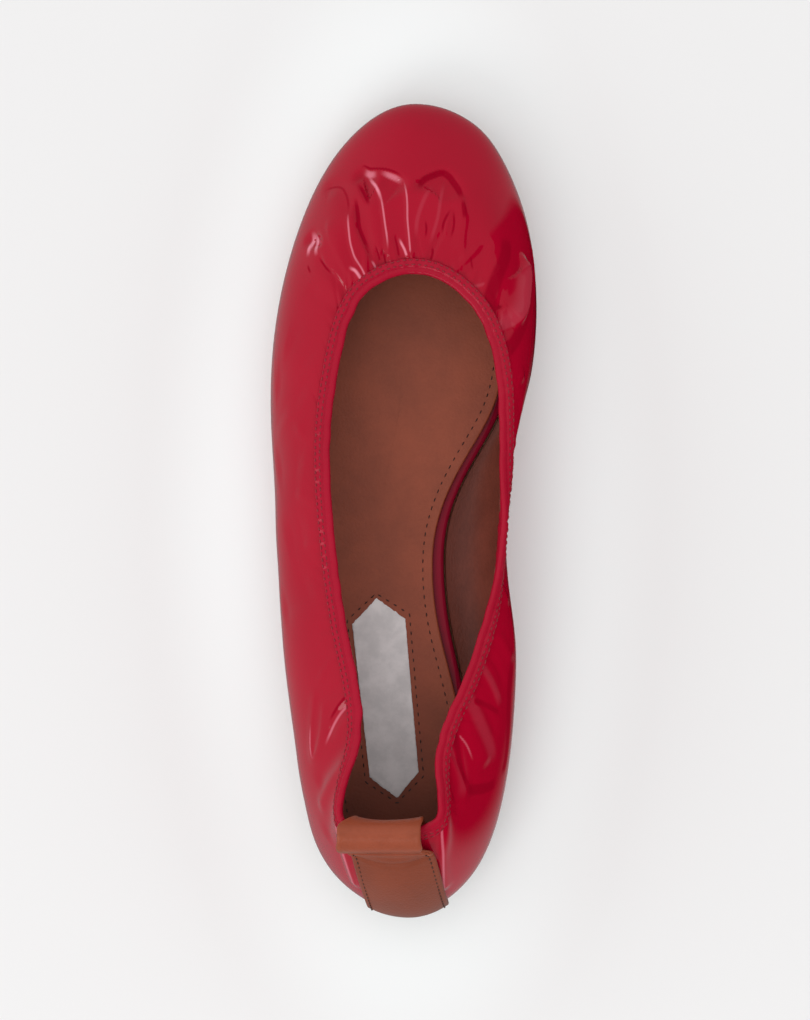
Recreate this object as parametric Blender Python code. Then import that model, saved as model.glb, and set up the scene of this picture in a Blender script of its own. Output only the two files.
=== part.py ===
"""Ballet flat, left shoe, in metres: +Y to the toe, +X to the medial side, +Z up, standing on Z = 0.

The upper is a shell swept between three plan outlines of the last: the feather line where it meets the
sole, the bulge where it is widest, and the topline round the foot's opening. An angle called turn runs
round all three, from 0 at the back of the heel along the lateral side to pi at the toe and back along
the medial side. Sole, footbed and insole are slabs on the same feather line, under one arch profile.
"""

import math
from collections import namedtuple
from functools import lru_cache

import bmesh
import bpy
from mathutils import Vector

# Driving dimensions
SHOE_LENGTH = 0.2450  # back of the heel to the toe, over the bulge of the upper
SHOE_WIDTH = 0.0800  # across the bulge at the ball
SOLE_WIDTH = 0.0672  # of the feather line at the ball
HEEL_INSET = 0.0060  # from the back of the bulge to the feather line
TOE_INSET = 0.0078  # from the front of the bulge to the feather line
COLLAR_INSET = 0.0242  # from the back of the bulge to the back of the topline
VAMP_LENGTH = 0.0497  # from the front of the bulge to the throat
COLLAR_WIDTH = 0.0560  # of the topline at its widest
HEEL_SWING = 0.0025  # how far the back of the bulge lies to the medial side of the collar's back
TOE_SWING = 0.0045  # how far the toe lies to the medial side of the heel

HEEL_LIFT_HEIGHT = 0.0070
TOE_SPRING = 0.0060
OUTSOLE_THICKNESS = 0.0035
SOLE_MARGIN = 0.0030  # outsole beyond the feather line
SOLE_EDGE_ROUND = 0.0008
HEEL_LIFT_INSET = 0.0010

THROAT_HEIGHT = 0.0390
SIDE_HEIGHT = 0.0425
COLLAR_HEIGHT = 0.0580
UPPER_WALL = 0.0018
BINDING_DIAMETER = 0.0026

FOOTBED_THICKNESS = 0.0040
FOOTBED_EDGE_ROUND = 0.0012
RIM_WIDTH = 0.0022  # red edge of the footbed that shows round the insole
INSOLE_THICKNESS = 0.0016
INSOLE_EDGE_ROUND = 0.0005

LABEL_LENGTH = 0.0610
LABEL_WIDTH = 0.0162  # at its toe end
LABEL_HEEL_WIDTH = 0.0149
LABEL_POINT = 0.0072  # length of each pointed end
LABEL_TILT = math.radians(5.8)
LABEL_FROM_HEEL = 0.0646  # back of the bulge to the middle of the label
LABEL_ASIDE = 0.0024  # from the insole's middle towards the lateral side
LABEL_THICKNESS = 0.0006
LABEL_SET_IN = 0.0010  # depth of its pocket in the insole

STRIP_WIDTH = 0.0247
STRIP_THICKNESS = 0.0013
STRIP_FOOT_RISE = 0.0020  # lower end of the strip above the outsole
STRIP_TAIL = 0.0080  # how far its inner end reaches down behind the lining
STRIP_TAIL_WIDTH = 0.0205  # at its inner end, inside the heel
LOOP_DEPTH = 0.0090
LOOP_RISE = 0.0070
LOOP_LEAN = math.radians(20.0)  # of the loop, forwards from upright
LOOP_SKEW = 0.0026  # how far the top of the loop shifts to the lateral side
STRIP_FLATTENS = 0.0120  # stretch below the topline over which the strip leaves the wall's curve

SEAT_GAP = 0.0003  # clearance between pieces that touch

SOLE_LENGTH = SHOE_LENGTH - HEEL_INSET - TOE_INSET
COLLAR_LENGTH = SHOE_LENGTH - COLLAR_INSET - VAMP_LENGTH

Plan = namedtuple("Plan", "back length width heel_x toe_x rows")
Breadth = namedtuple("Breadth", "along lateral medial")
Bulge = namedtuple("Bulge", "along lateral_rise medial_rise")
Lean = namedtuple("Lean", "along lateral medial power")
Profile = namedtuple("Profile", "along heel_share toe_share")

# Half-breadths of each outline from its own centre line, as shares of its width, at shares of its length
FEATHER_ROWS = (
    Breadth(0.022, 0.201, 0.193),
    Breadth(0.053, 0.275, 0.268),
    Breadth(0.109, 0.335, 0.320),
    Breadth(0.174, 0.354, 0.323),
    Breadth(0.257, 0.368, 0.274),
    Breadth(0.384, 0.391, 0.177),
    Breadth(0.460, 0.417, 0.162),
    Breadth(0.551, 0.463, 0.260),
    Breadth(0.600, 0.497, 0.366),
    Breadth(0.650, 0.530, 0.440),
    Breadth(0.700, 0.542, 0.458),
    Breadth(0.820, 0.476, 0.436),
    Breadth(0.940, 0.295, 0.290),
)
BULGE_ROWS = (
    Breadth(0.040, 0.262, 0.224),
    Breadth(0.087, 0.356, 0.306),
    Breadth(0.136, 0.392, 0.350),
    Breadth(0.236, 0.442, 0.391),
    Breadth(0.335, 0.484, 0.399),
    Breadth(0.434, 0.504, 0.358),
    Breadth(0.533, 0.522, 0.354),
    Breadth(0.582, 0.535, 0.362),
    Breadth(0.632, 0.542, 0.431),
    Breadth(0.732, 0.524, 0.465),
    Breadth(0.831, 0.455, 0.442),
    Breadth(0.930, 0.316, 0.332),
    Breadth(0.980, 0.171, 0.201),
)
TOPLINE_ROWS = (
    Breadth(0.012, 0.208, 0.222),
    Breadth(0.030, 0.266, 0.282),
    Breadth(0.065, 0.280, 0.297),
    Breadth(0.100, 0.266, 0.284),
    Breadth(0.134, 0.238, 0.276),
    Breadth(0.168, 0.216, 0.290),
    Breadth(0.203, 0.212, 0.324),
    Breadth(0.272, 0.250, 0.416),
    Breadth(0.341, 0.311, 0.475),
    Breadth(0.410, 0.356, 0.524),
    Breadth(0.549, 0.425, 0.550),
    Breadth(0.689, 0.461, 0.549),
    Breadth(0.829, 0.426, 0.507),
    Breadth(0.934, 0.342, 0.366),
    Breadth(0.969, 0.262, 0.256),
)
# Height of the bulge, as a share of the rise from the sole to the topline
BULGE_RISES = (
    Bulge(0.00, 0.24, 0.24),
    Bulge(0.20, 0.34, 0.34),
    Bulge(0.45, 0.38, 0.70),
    Bulge(0.56, 0.34, 0.66),
    Bulge(0.63, 0.32, 0.50),
    Bulge(0.71, 0.30, 0.33),
    Bulge(0.85, 0.26, 0.26),
    Bulge(1.00, 0.20, 0.20),
)
# How far the wall has bent over by the topline, in degrees of arc. A power under 1 straightens the arc
LEANS = (
    Lean(0.00, 30, 30, 0.72),
    Lean(0.20, 48, 48, 0.86),
    Lean(0.45, 55, 30, 1.00),
    Lean(0.60, 62, 40, 1.00),
    Lean(0.80, 74, 70, 1.00),
    Lean(1.00, 80, 80, 1.00),
)
# Underside of the outsole, as shares of the heel lift's height and of the toe spring
SOLE_PROFILE = (
    Profile(0.000, 1.000, 0.000),
    Profile(0.270, 1.000, 0.000),
    Profile(0.350, 0.800, 0.000),
    Profile(0.450, 0.360, 0.000),
    Profile(0.520, 0.090, 0.000),
    Profile(0.575, 0.000, 0.000),
    Profile(0.730, 0.000, 0.000),
    Profile(0.800, 0.000, 0.060),
    Profile(0.900, 0.000, 0.400),
    Profile(1.000, 0.000, 1.000),
)
HEEL_BREAST = 0.270  # front of the heel lift, as a share of the sole's length

# Fineness of the meshes
RING_POINTS = 96
HEEL_FINENESS = 0.35  # how much closer the points of a ring lie at the heel than at the sides
LOWER_RINGS = 4
UPPER_RINGS = 7
BINDING_SIDES = 8
HEEL_POINTS = 14
STRIP_COLUMNS = 6
STRIP_STATIONS = 16
LOOP_STATIONS = 10
TAIL_STATIONS = 5
LABEL_STATIONS = 14
RING_SAMPLES = 240
STEP = 1e-4  # of turn or rise, for slopes taken by difference

MATERIALS = {
    # name: colour, roughness, metallic
    "patent": ((0.46, 0.010, 0.030), 0.12, 0.0),
    "tan_leather": ((0.30, 0.095, 0.036), 0.50, 0.0),
    "insole_leather": ((0.24, 0.075, 0.035), 0.55, 0.0),
    "label": ((0.62, 0.60, 0.58), 0.45, 0.0),
    "sole_leather": ((0.36, 0.20, 0.10), 0.60, 0.0),
    "heel_rubber": ((0.05, 0.035, 0.03), 0.75, 0.0),
}


def smooth_curve(points, x):
    """Value at x of a smooth curve through (x, y) points, level outside them."""
    if x <= points[0][0]:
        return points[0][1]
    if x >= points[-1][0]:
        return points[-1][1]
    i = next(i for i in range(1, len(points)) if x <= points[i][0])
    (x0, y0), (x1, y1) = points[i - 1], points[i]

    def slope(j):
        if j in (0, len(points) - 1):
            return 0.0
        (xa, ya), (xb, yb), (xc, yc) = points[j - 1 : j + 2]
        before, after = (yb - ya) / (xb - xa), (yc - yb) / (xc - xb)
        if before * after <= 0:
            return 0.0
        return 2 * before * after / (before + after)

    span = x1 - x0
    t = (x - x0) / span
    return (
        y0 * (1 + 2 * t) * (1 - t) ** 2
        + y1 * t * t * (3 - 2 * t)
        + span * (slope(i - 1) * t * (1 - t) ** 2 - slope(i) * t * t * (1 - t))
    )


def table_value(rows, column, along):
    """Smooth reading of one column of a table at a share of the length."""
    return smooth_curve([(row.along, getattr(row, column)) for row in rows], along)


def angle_of(along):
    """Angle at which an outline reaches a share of its length: 0 at the heel, pi at the toe."""
    return math.acos(1 - 2 * min(max(along, 0.0), 1.0))


def share_of(turn):
    """Share of the outline's length, heel to toe, at a turn round it."""
    return (1 - math.cos(turn)) / 2


def is_medial(turn):
    return turn % (2 * math.pi) > math.pi


@lru_cache
def fullness(rows, side):
    """Breadths of one side as shares of a half ellipse's, at the angles of their rows."""
    angles = [angle_of(row.along) for row in rows]
    return [(a, getattr(row, side) / math.sin(a)) for a, row in zip(angles, rows)]


def half_breadth(plan, turn):
    """Half-breadth of an outline. Its ends are round because only the fullness is read from the table."""
    side = "medial" if is_medial(turn) else "lateral"
    angle = math.acos(math.cos(turn))
    return plan.width * smooth_curve(fullness(plan.rows, side), angle) * math.sin(angle)


def plan_point(plan, turn, outset=0.0):
    """Point of an outline in plan, moved outwards by outset."""
    along = share_of(turn)
    side = 1 if is_medial(turn) else -1
    centre = plan.heel_x + (plan.toe_x - plan.heel_x) * along
    point = Vector(
        (centre + side * half_breadth(plan, turn), plan.back + plan.length * along)
    )
    if outset:
        ahead = plan_point(plan, turn + STEP) - plan_point(plan, turn - STEP)
        point += Vector((-ahead.y, ahead.x)).normalized() * outset
    return point


def extent(plan, axis):
    """Lowest and highest value of an outline along an axis."""
    values = [
        plan_point(plan, 2 * math.pi * i / RING_SAMPLES)[axis]
        for i in range(RING_SAMPLES)
    ]
    return min(values), max(values)


BULGE_AT_ZERO = Plan(0, SHOE_LENGTH, SHOE_WIDTH, HEEL_SWING, TOE_SWING, BULGE_ROWS)
STRIP_BUILD = SEAT_GAP + STRIP_THICKNESS
MIDDLE_X = sum(extent(BULGE_AT_ZERO, 0)) / 2
HEEL_Y = (STRIP_BUILD - SHOE_LENGTH) / 2  # back of the bulge, with the origin mid-footprint

FEATHER = Plan(
    HEEL_Y + HEEL_INSET,
    SOLE_LENGTH,
    SOLE_WIDTH,
    -MIDDLE_X,
    TOE_SWING - MIDDLE_X,
    FEATHER_ROWS,
)
BULGE = Plan(
    HEEL_Y,
    SHOE_LENGTH,
    SHOE_WIDTH,
    HEEL_SWING - MIDDLE_X,
    TOE_SWING - MIDDLE_X,
    BULGE_ROWS,
)
TOPLINE = Plan(
    HEEL_Y + COLLAR_INSET,
    COLLAR_LENGTH,
    COLLAR_WIDTH,
    -HEEL_SWING - MIDDLE_X,
    TOE_SWING - MIDDLE_X,
    TOPLINE_ROWS,
)


def sole_bottom(y):
    """Height of the outsole's underside."""
    along = (y - FEATHER.back) / SOLE_LENGTH
    heel = table_value(SOLE_PROFILE, "heel_share", along)
    toe = table_value(SOLE_PROFILE, "toe_share", along)
    return HEEL_LIFT_HEIGHT * heel + TOE_SPRING * toe


def sole_top(y):
    return sole_bottom(y) + OUTSOLE_THICKNESS


def footbed_top(y):
    return sole_top(y) + SEAT_GAP + FOOTBED_THICKNESS


def insole_top(y):
    return footbed_top(y) + SEAT_GAP + INSOLE_THICKNESS


def topline_height(turn):
    heights = [(0.0, COLLAR_HEIGHT), (0.5, SIDE_HEIGHT), (1.0, THROAT_HEIGHT)]
    return smooth_curve(heights, share_of(turn))


def upper_point(turn, rise):
    """Point on the outside of the upper. rise is 0 at the feather line, 1 at the bulge, 2 at the topline."""
    along = share_of(turn)
    bulge = plan_point(BULGE, turn)
    top_z = topline_height(turn)
    column = "medial_rise" if is_medial(turn) else "lateral_rise"
    bulge_share = table_value(BULGE_RISES, column, along)
    bulge_z = sole_top(bulge.y) * (1 - bulge_share) + top_z * bulge_share
    if rise <= 1:
        angle = rise * math.pi / 2
        plan = plan_point(FEATHER, turn).lerp(bulge, math.sin(angle))
        base = sole_top(plan.y) + SEAT_GAP
        return Vector((*plan, base + (bulge_z - base) * (1 - math.cos(angle))))
    lean = math.radians(
        table_value(LEANS, "medial" if is_medial(turn) else "lateral", along)
    )
    angle = (rise - 1) * lean
    arc = (1 - math.cos(angle)) / (1 - math.cos(lean))
    inwards = arc ** table_value(LEANS, "power", along)
    plan = bulge.lerp(plan_point(TOPLINE, turn), inwards)
    upwards = math.sin(angle) / math.sin(lean)
    return Vector((*plan, bulge_z + (top_z - bulge_z) * upwards))


def upper_frame(turn, rise):
    """Outward normal of the upper at a point, and the way to the topline along it, square to the ring."""
    low, high = max(rise - STEP, 0.0), min(rise + STEP, 2.0)
    climb = upper_point(turn, high) - upper_point(turn, low)
    around = upper_point(turn + STEP, rise) - upper_point(turn - STEP, rise)
    normal = climb.cross(around).normalized()
    return normal, around.cross(normal).normalized()


def upper_layer(turn, rise, depth):
    """Point at a depth inside the upper's outer face."""
    return upper_point(turn, rise) - upper_frame(turn, rise)[0] * depth


def ring_turns():
    """Turns of a ring's points, closest together at the heel, where the topline has its corners."""
    even = [2 * math.pi * i / RING_POINTS for i in range(RING_POINTS)]
    return [turn - HEEL_FINENESS * math.sin(turn) for turn in even]


def material(name):
    found = bpy.data.materials.get(name)
    if found:
        return found
    colour, roughness, metallic = MATERIALS[name]
    made = bpy.data.materials.new(name)
    made.use_nodes = True
    shader = made.node_tree.nodes["Principled BSDF"]
    shader.inputs["Base Color"].default_value = (*colour, 1)
    shader.inputs["Roughness"].default_value = roughness
    shader.inputs["Metallic"].default_value = metallic
    return made


def finish(bm, name, material_name):
    """Makes the object of a closed mesh, facing out and shaded smooth."""
    bmesh.ops.recalc_face_normals(bm, faces=bm.faces)
    mesh = bpy.data.meshes.new(name)
    bm.to_mesh(mesh)
    bm.free()
    mesh.shade_smooth()
    mesh.set_sharp_from_angle(angle=math.radians(40))
    mesh.materials.append(material(material_name))
    made = bpy.data.objects.new(name, mesh)
    bpy.context.scene.collection.objects.link(made)
    return made


def ladder(bm, ring):
    """Closes a ring with rungs across it, from its first point to the far end."""
    count = len(ring)
    bm.faces.new((ring[0], ring[1], ring[-1]))
    left, right = 1, count - 1
    while right - left > 2:
        bm.faces.new((ring[left], ring[left + 1], ring[right - 1], ring[right]))
        left, right = left + 1, right - 1
    if right - left == 2:
        bm.faces.new((ring[left], ring[left + 1], ring[right]))


def loft(bm, rings, wrap=False, rungs=False):
    """Skins a list of rings. wrap joins the last to the first; otherwise the two ends are closed."""
    made = [[bm.verts.new(point) for point in ring] for ring in rings]
    pairs = list(zip(made, made[1:] + made[:1] if wrap else made[1:]))
    for lower, higher in pairs:
        for i, start in enumerate(lower):
            after = (i + 1) % len(lower)
            bm.faces.new((start, lower[after], higher[after], higher[i]))
    if wrap:
        return
    for ring in (made[0], made[-1]):
        if rungs:
            ladder(bm, ring)
        else:
            bm.faces.new(ring)


def slab(name, material_name, rings):
    """A closed sheet between a lower and an upper outline."""
    bm = bmesh.new()
    loft(bm, rings, rungs=True)
    return finish(bm, name, material_name)


def sole_ring(outset, height, lift=0.0):
    """The feather line moved out by outset, at a height that a profile function gives."""
    points = [plan_point(FEATHER, turn, outset) for turn in ring_turns()]
    return [(*point, height(point.y) + lift) for point in points]


def build_outsole():
    edge = SOLE_EDGE_ROUND
    rings = [
        sole_ring(SOLE_MARGIN - edge, sole_bottom),
        sole_ring(SOLE_MARGIN, sole_bottom, edge),
        sole_ring(SOLE_MARGIN, sole_top, -edge),
        sole_ring(SOLE_MARGIN - edge, sole_top),
    ]
    return slab("outsole", "sole_leather", rings)


def build_heel_lift():
    """The heel lift: the back of the outsole's outline, closed by a straight breast."""
    last = angle_of(HEEL_BREAST)
    turns = [last * i / HEEL_POINTS for i in range(HEEL_POINTS + 1)]
    turns += [-turn for turn in reversed(turns[1:])]
    outset = SOLE_MARGIN - HEEL_LIFT_INSET
    edge = SOLE_EDGE_ROUND

    def ring(inset, height):
        points = [plan_point(FEATHER, turn, outset - inset) for turn in turns]
        return [(*point, height(point.y)) for point in points]

    rings = [
        ring(edge, lambda y: 0.0),
        ring(0.0, lambda y: edge),
        ring(0.0, lambda y: sole_bottom(y) - SEAT_GAP),
    ]
    return slab("heel_lift", "heel_rubber", rings)


def build_footbed():
    """The board under the insole, its edge wrapped in the patent leather and rounded."""
    edge = FOOTBED_EDGE_ROUND
    corner = edge * (1 - math.cos(math.pi / 4))
    outer = -SEAT_GAP

    def base(y):
        return sole_top(y) + SEAT_GAP

    rings = [
        sole_ring(outer, base),
        sole_ring(outer, footbed_top, -edge),
        sole_ring(outer - corner, footbed_top, -corner),
        sole_ring(outer - edge, footbed_top),
    ]
    return slab("footbed", "patent", rings)


def label_outline(margin, station):
    """Left and right point of the label at a station, 0 at its heel end to 1 at its toe end."""
    length = LABEL_LENGTH + 2 * margin
    taper = min(station, 1 - station) * length / LABEL_POINT
    width = LABEL_HEEL_WIDTH + (LABEL_WIDTH - LABEL_HEEL_WIDTH) * station
    half = (width / 2 + margin) * min(taper, 1.0)
    middle = Vector((insole_middle() - LABEL_ASIDE, HEEL_Y + LABEL_FROM_HEEL))
    along = Vector((-math.sin(LABEL_TILT), math.cos(LABEL_TILT)))
    across = Vector((along.y, -along.x))
    centre = middle + along * (station - 0.5) * length
    return centre - across * half, centre + across * half


def insole_middle():
    """Middle of the insole's breadth where the label lies."""
    along = (HEEL_Y + LABEL_FROM_HEEL - FEATHER.back) / SOLE_LENGTH
    turn = angle_of(along)
    return (plan_point(FEATHER, turn).x + plan_point(FEATHER, -turn).x) / 2


def label_rings(margin, low, high):
    """Rings of a slab with the label's outline, between two height functions."""
    ends = LABEL_POINT / LABEL_LENGTH
    inner = [
        ends + (1 - 2 * ends) * i / LABEL_STATIONS for i in range(LABEL_STATIONS + 1)
    ]
    pairs = [label_outline(margin, station) for station in inner]
    heel_tip = label_outline(margin, 0.0)[0]
    toe_tip = label_outline(margin, 1.0)[0]
    outline = [
        heel_tip,
        *(left for left, _ in pairs),
        toe_tip,
        *(right for _, right in reversed(pairs)),
    ]
    return [[(*point, height(point.y)) for point in outline] for height in (low, high)]


def build_insole():
    """The leather insole, with a shallow pocket for the label."""
    edge = INSOLE_EDGE_ROUND
    outer = -SEAT_GAP - RIM_WIDTH

    def base(y):
        return footbed_top(y) + SEAT_GAP

    rings = [
        sole_ring(outer, base),
        sole_ring(outer, insole_top, -edge),
        sole_ring(outer - edge, insole_top),
    ]
    insole = slab("insole", "insole_leather", rings)
    cutter_rings = label_rings(
        SEAT_GAP,
        lambda y: insole_top(y) - LABEL_SET_IN,
        lambda y: insole_top(y) + LABEL_SET_IN,
    )
    cutter = slab("label_pocket", "insole_leather", cutter_rings)
    cutter.hide_render = True
    cutter.display_type = "WIRE"
    pocket = insole.modifiers.new("label pocket", "BOOLEAN")
    pocket.operation = "DIFFERENCE"
    pocket.object = cutter
    return insole


def build_label():
    def base(y):
        return insole_top(y) - LABEL_SET_IN + SEAT_GAP

    rings = label_rings(0.0, base, lambda y: base(y) + LABEL_THICKNESS)
    return slab("insole_label", "label", rings)


def build_upper():
    """The shell of the upper: outer face up to the topline, and the lining's face back down."""
    rises = [i / LOWER_RINGS for i in range(LOWER_RINGS)]
    rises += [1 + i / UPPER_RINGS for i in range(UPPER_RINGS + 1)]
    outer = [[upper_point(turn, rise) for turn in ring_turns()] for rise in rises]
    inner = [
        [upper_layer(turn, rise, UPPER_WALL) for turn in ring_turns()]
        for rise in reversed(rises)
    ]
    bm = bmesh.new()
    loft(bm, outer + inner, wrap=True)
    return finish(bm, "upper", "patent")


def build_binding():
    """The rolled edge that covers the elastic round the topline."""
    radius = BINDING_DIAMETER / 2
    rings = []
    for side in range(BINDING_SIDES):
        angle = 2 * math.pi * side / BINDING_SIDES
        ring = []
        for turn in ring_turns():
            normal, climb = upper_frame(turn, 2.0)
            centre = upper_layer(turn, 2.0, UPPER_WALL / 2) + climb * (
                SEAT_GAP + radius
            )
            ring.append(
                centre
                + (normal * math.cos(angle) + climb * math.sin(angle)) * radius
            )
        rings.append(ring)
    bm = bmesh.new()
    loft(bm, rings, wrap=True)
    return finish(bm, "topline_binding", "patent")


def heel_rise_table():
    """Pairs of (distance below the topline, rise) up the back of the heel."""
    samples = RING_SAMPLES
    points = [upper_point(0.0, 2 * i / samples) for i in range(samples + 1)]
    table = [(0.0, 2.0)]
    below = 0.0
    for i in range(samples, 0, -1):
        below += (points[i] - points[i - 1]).length
        table.append((below, 2 * (i - 1) / samples))
    return table


def read_table(table, x):
    """Straight-line reading of a table of increasing (x, y) pairs."""
    if x <= table[0][0]:
        return table[0][1]
    for (x0, y0), (x1, y1) in zip(table, table[1:]):
        if x <= x1:
            return y0 + (y1 - y0) * (x - x0) / (x1 - x0)
    return table[-1][1]


def across_heel(rise, offset):
    """Turn at a distance along the upper from the middle of the back, lateral side negative."""
    reach = abs(offset)
    samples = RING_SAMPLES
    largest = math.pi / 3
    sign = 1 if offset < 0 else -1
    gone, previous = 0.0, upper_point(0.0, rise)
    for i in range(1, samples):
        turn = sign * largest * i / samples
        point = upper_point(turn, rise)
        step = (point - previous).length
        if gone + step >= reach:
            return turn - sign * largest / samples * (1 - (reach - gone) / step)
        gone, previous = gone + step, point
    return sign * largest


def strip_path():
    """Middle line of the back strip: (distance above the topline, offset outwards from the wall's middle)."""
    below = heel_rise_table()
    full = below[-1][0]
    foot = next(
        distance
        for distance, rise in below
        if upper_point(0.0, rise).z - sole_top(FEATHER.back) < STRIP_FOOT_RISE
        or distance >= full
    )
    hug = (UPPER_WALL + STRIP_THICKNESS) / 2 + SEAT_GAP
    puff = (LOOP_DEPTH - STRIP_THICKNESS) / 2

    def offset(distance):
        return hug + (puff - hug) * ease(1 + distance / LOOP_RISE)

    outside = [-foot * (1 - i / STRIP_STATIONS) for i in range(STRIP_STATIONS)]
    inside = [-STRIP_TAIL * (i + 1) / TAIL_STATIONS for i in range(TAIL_STATIONS)]
    arc = [math.pi * i / LOOP_STATIONS for i in range(LOOP_STATIONS + 1)]
    path = [(distance, offset(distance)) for distance in outside]
    path += [(LOOP_RISE * math.sin(a), puff * math.cos(a)) for a in arc]
    path += [(distance, -offset(distance)) for distance in inside]
    return path


def ease(share):
    """Smooth step from 0 to 1."""
    share = min(max(share, 0.0), 1.0)
    return share * share * (3 - 2 * share)


def strip_point(rise, aside, out, up, flatness, skew):
    """Point of the strip: off the wall's middle, or on a straight line across where the loop is free."""
    turn = across_heel(rise, aside)
    normal, climb = upper_frame(turn, rise)
    curved = upper_layer(turn, rise, UPPER_WALL / 2) + normal * out + climb * up
    backwards = Vector((0, -math.cos(LOOP_LEAN), math.sin(LOOP_LEAN)))
    upwards = Vector((0, math.sin(LOOP_LEAN), math.cos(LOOP_LEAN)))
    middle = upper_layer(0.0, rise, UPPER_WALL / 2) + backwards * out + upwards * up
    return curved.lerp(middle + Vector((aside - skew, 0, 0)), flatness)


def strip_section(below, distance, offset, thick_up, thick_out):
    """One cross-section of the strip: its outer points, then its inner points back."""
    rise = read_table(below, max(-distance, 0.0))
    clear = SEAT_GAP + BINDING_DIAMETER
    if offset > 0:
        flatness = ease(1 + distance / STRIP_FLATTENS)
    else:
        flatness = ease((distance - clear / 2) / (LOOP_RISE - clear / 2))
    skew = LOOP_SKEW * ease((distance - clear) / (LOOP_RISE - clear))
    width = STRIP_WIDTH
    if offset < 0:
        width += (STRIP_TAIL_WIDTH - STRIP_WIDTH) * ease(-distance / STRIP_TAIL)
    faces = []
    for side in (1, -1):
        out = offset + side * thick_out * STRIP_THICKNESS / 2
        up = max(distance, 0.0) + side * thick_up * STRIP_THICKNESS / 2
        asides = [width * (column / STRIP_COLUMNS - 0.5) for column in range(STRIP_COLUMNS + 1)]
        faces.append([strip_point(rise, aside, out, up, flatness, skew) for aside in asides])
    return faces[0] + faces[1][::-1]


def build_back_strip():
    """The strip up the back of the heel, folded over the collar into a pull loop."""
    below = heel_rise_table()
    path = strip_path()
    sections = []
    for i, (distance, offset) in enumerate(path):
        before, after = path[max(i - 1, 0)], path[min(i + 1, len(path) - 1)]
        ahead = Vector((after[0] - before[0], after[1] - before[1])).normalized()
        sections.append(strip_section(below, distance, offset, -ahead.y, ahead.x))
    bm = bmesh.new()
    loft(bm, sections)
    return finish(bm, "back_strip", "tan_leather")


def main():
    for old in list(bpy.data.objects):
        bpy.data.objects.remove(old)
    build_outsole()
    build_heel_lift()
    build_footbed()
    build_insole()
    build_label()
    build_upper()
    build_binding()
    build_back_strip()


main()
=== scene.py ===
"""Looks of a left ballet flat in glossy red patent leather, built round its packed solids.

Metres, +Y to the toe, +X to the medial side. An angle called turn runs round every outline of the last,
from 0 at the back of the heel along the lateral side to pi at the toe and back along the medial side.
"""

import math
from collections import namedtuple

import bmesh
import bpy
import numpy as np
from bpy.props import FloatProperty, FloatVectorProperty, PointerProperty
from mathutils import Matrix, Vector


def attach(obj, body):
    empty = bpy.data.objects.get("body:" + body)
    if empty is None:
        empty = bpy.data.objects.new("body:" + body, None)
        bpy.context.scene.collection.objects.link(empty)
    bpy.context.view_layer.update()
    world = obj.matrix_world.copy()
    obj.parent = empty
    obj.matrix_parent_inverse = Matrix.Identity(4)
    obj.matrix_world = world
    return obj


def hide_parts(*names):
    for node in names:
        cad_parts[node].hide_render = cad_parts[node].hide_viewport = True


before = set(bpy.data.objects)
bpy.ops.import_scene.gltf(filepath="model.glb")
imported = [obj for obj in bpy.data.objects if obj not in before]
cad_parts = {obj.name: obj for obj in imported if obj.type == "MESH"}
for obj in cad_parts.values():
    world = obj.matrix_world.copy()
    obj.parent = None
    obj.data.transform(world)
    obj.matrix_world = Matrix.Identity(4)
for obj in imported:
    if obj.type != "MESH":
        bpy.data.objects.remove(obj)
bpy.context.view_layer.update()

bl_info = {
    "name": "Ballet flat",
    "version": (1, 0, 0),
    "blender": (4, 5, 0),
    "location": "View3D > Sidebar > Ballet flat",
    "description": "Builds the leather, trims, stitches and stage of a gathered ballet flat",
    "category": "Object",
}

MM = 0.001

# Sizes of the last and of the pieces, as the solids have them
SHOE_LENGTH = 0.2450
SHOE_WIDTH = 0.0800
SOLE_WIDTH = 0.0672
HEEL_INSET = 0.0060
TOE_INSET = 0.0078
COLLAR_INSET = 0.0242
VAMP_LENGTH = 0.0497
COLLAR_WIDTH = 0.0560
HEEL_SWING = 0.0025
TOE_SWING = 0.0045
HEEL_LIFT_HEIGHT = 0.0070
TOE_SPRING = 0.0060
OUTSOLE_THICKNESS = 0.0035
SOLE_MARGIN = 0.0030
HEEL_LIFT_INSET = 0.0010
THROAT_HEIGHT = 0.0390
SIDE_HEIGHT = 0.0425
COLLAR_HEIGHT = 0.0580
UPPER_WALL = 0.0018
FOOTBED_THICKNESS = 0.0040
RIM_WIDTH = 0.0022
INSOLE_THICKNESS = 0.0016
LABEL_LENGTH = 0.0610
LABEL_WIDTH = 0.0162
LABEL_HEEL_WIDTH = 0.0149
LABEL_POINT = 0.0072
LABEL_TILT = math.radians(5.8)
LABEL_FROM_HEEL = 0.0646
LABEL_ASIDE = 0.0024
STRIP_WIDTH = 0.0247
STRIP_THICKNESS = 0.0013
STRIP_FOOT_RISE = 0.0020
STRIP_TAIL = 0.0080
STRIP_TAIL_WIDTH = 0.0205
STRIP_SEAM = 0.0017  # from the strip's edge to its stitches
LOOP_DEPTH = 0.0090
LOOP_RISE = 0.0070
LOOP_LEAN = math.radians(20.0)
LOOP_SKEW = 0.0026
LOOP_STEP = 0.0022  # length of strip over which the loop steps aside
STRIP_FLATTENS = 0.0120
BINDING_DIAMETER = 0.0026
HEEL_BREAST = 0.270
SEAT_GAP = 0.0003
SOLE_LENGTH = SHOE_LENGTH - HEEL_INSET - TOE_INSET
COLLAR_LENGTH = SHOE_LENGTH - COLLAR_INSET - VAMP_LENGTH

Sides = namedtuple("Sides", "along lateral medial")
Profile = namedtuple("Profile", "along heel toe")
Fold = namedtuple("Fold", "height left right line")
Drift = namedtuple("Drift", "turn aside lower")
Gathers = namedtuple("Gathers", "turn strength reach")


def table(kind, rows):
    return [kind(*row) for row in rows]



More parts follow.
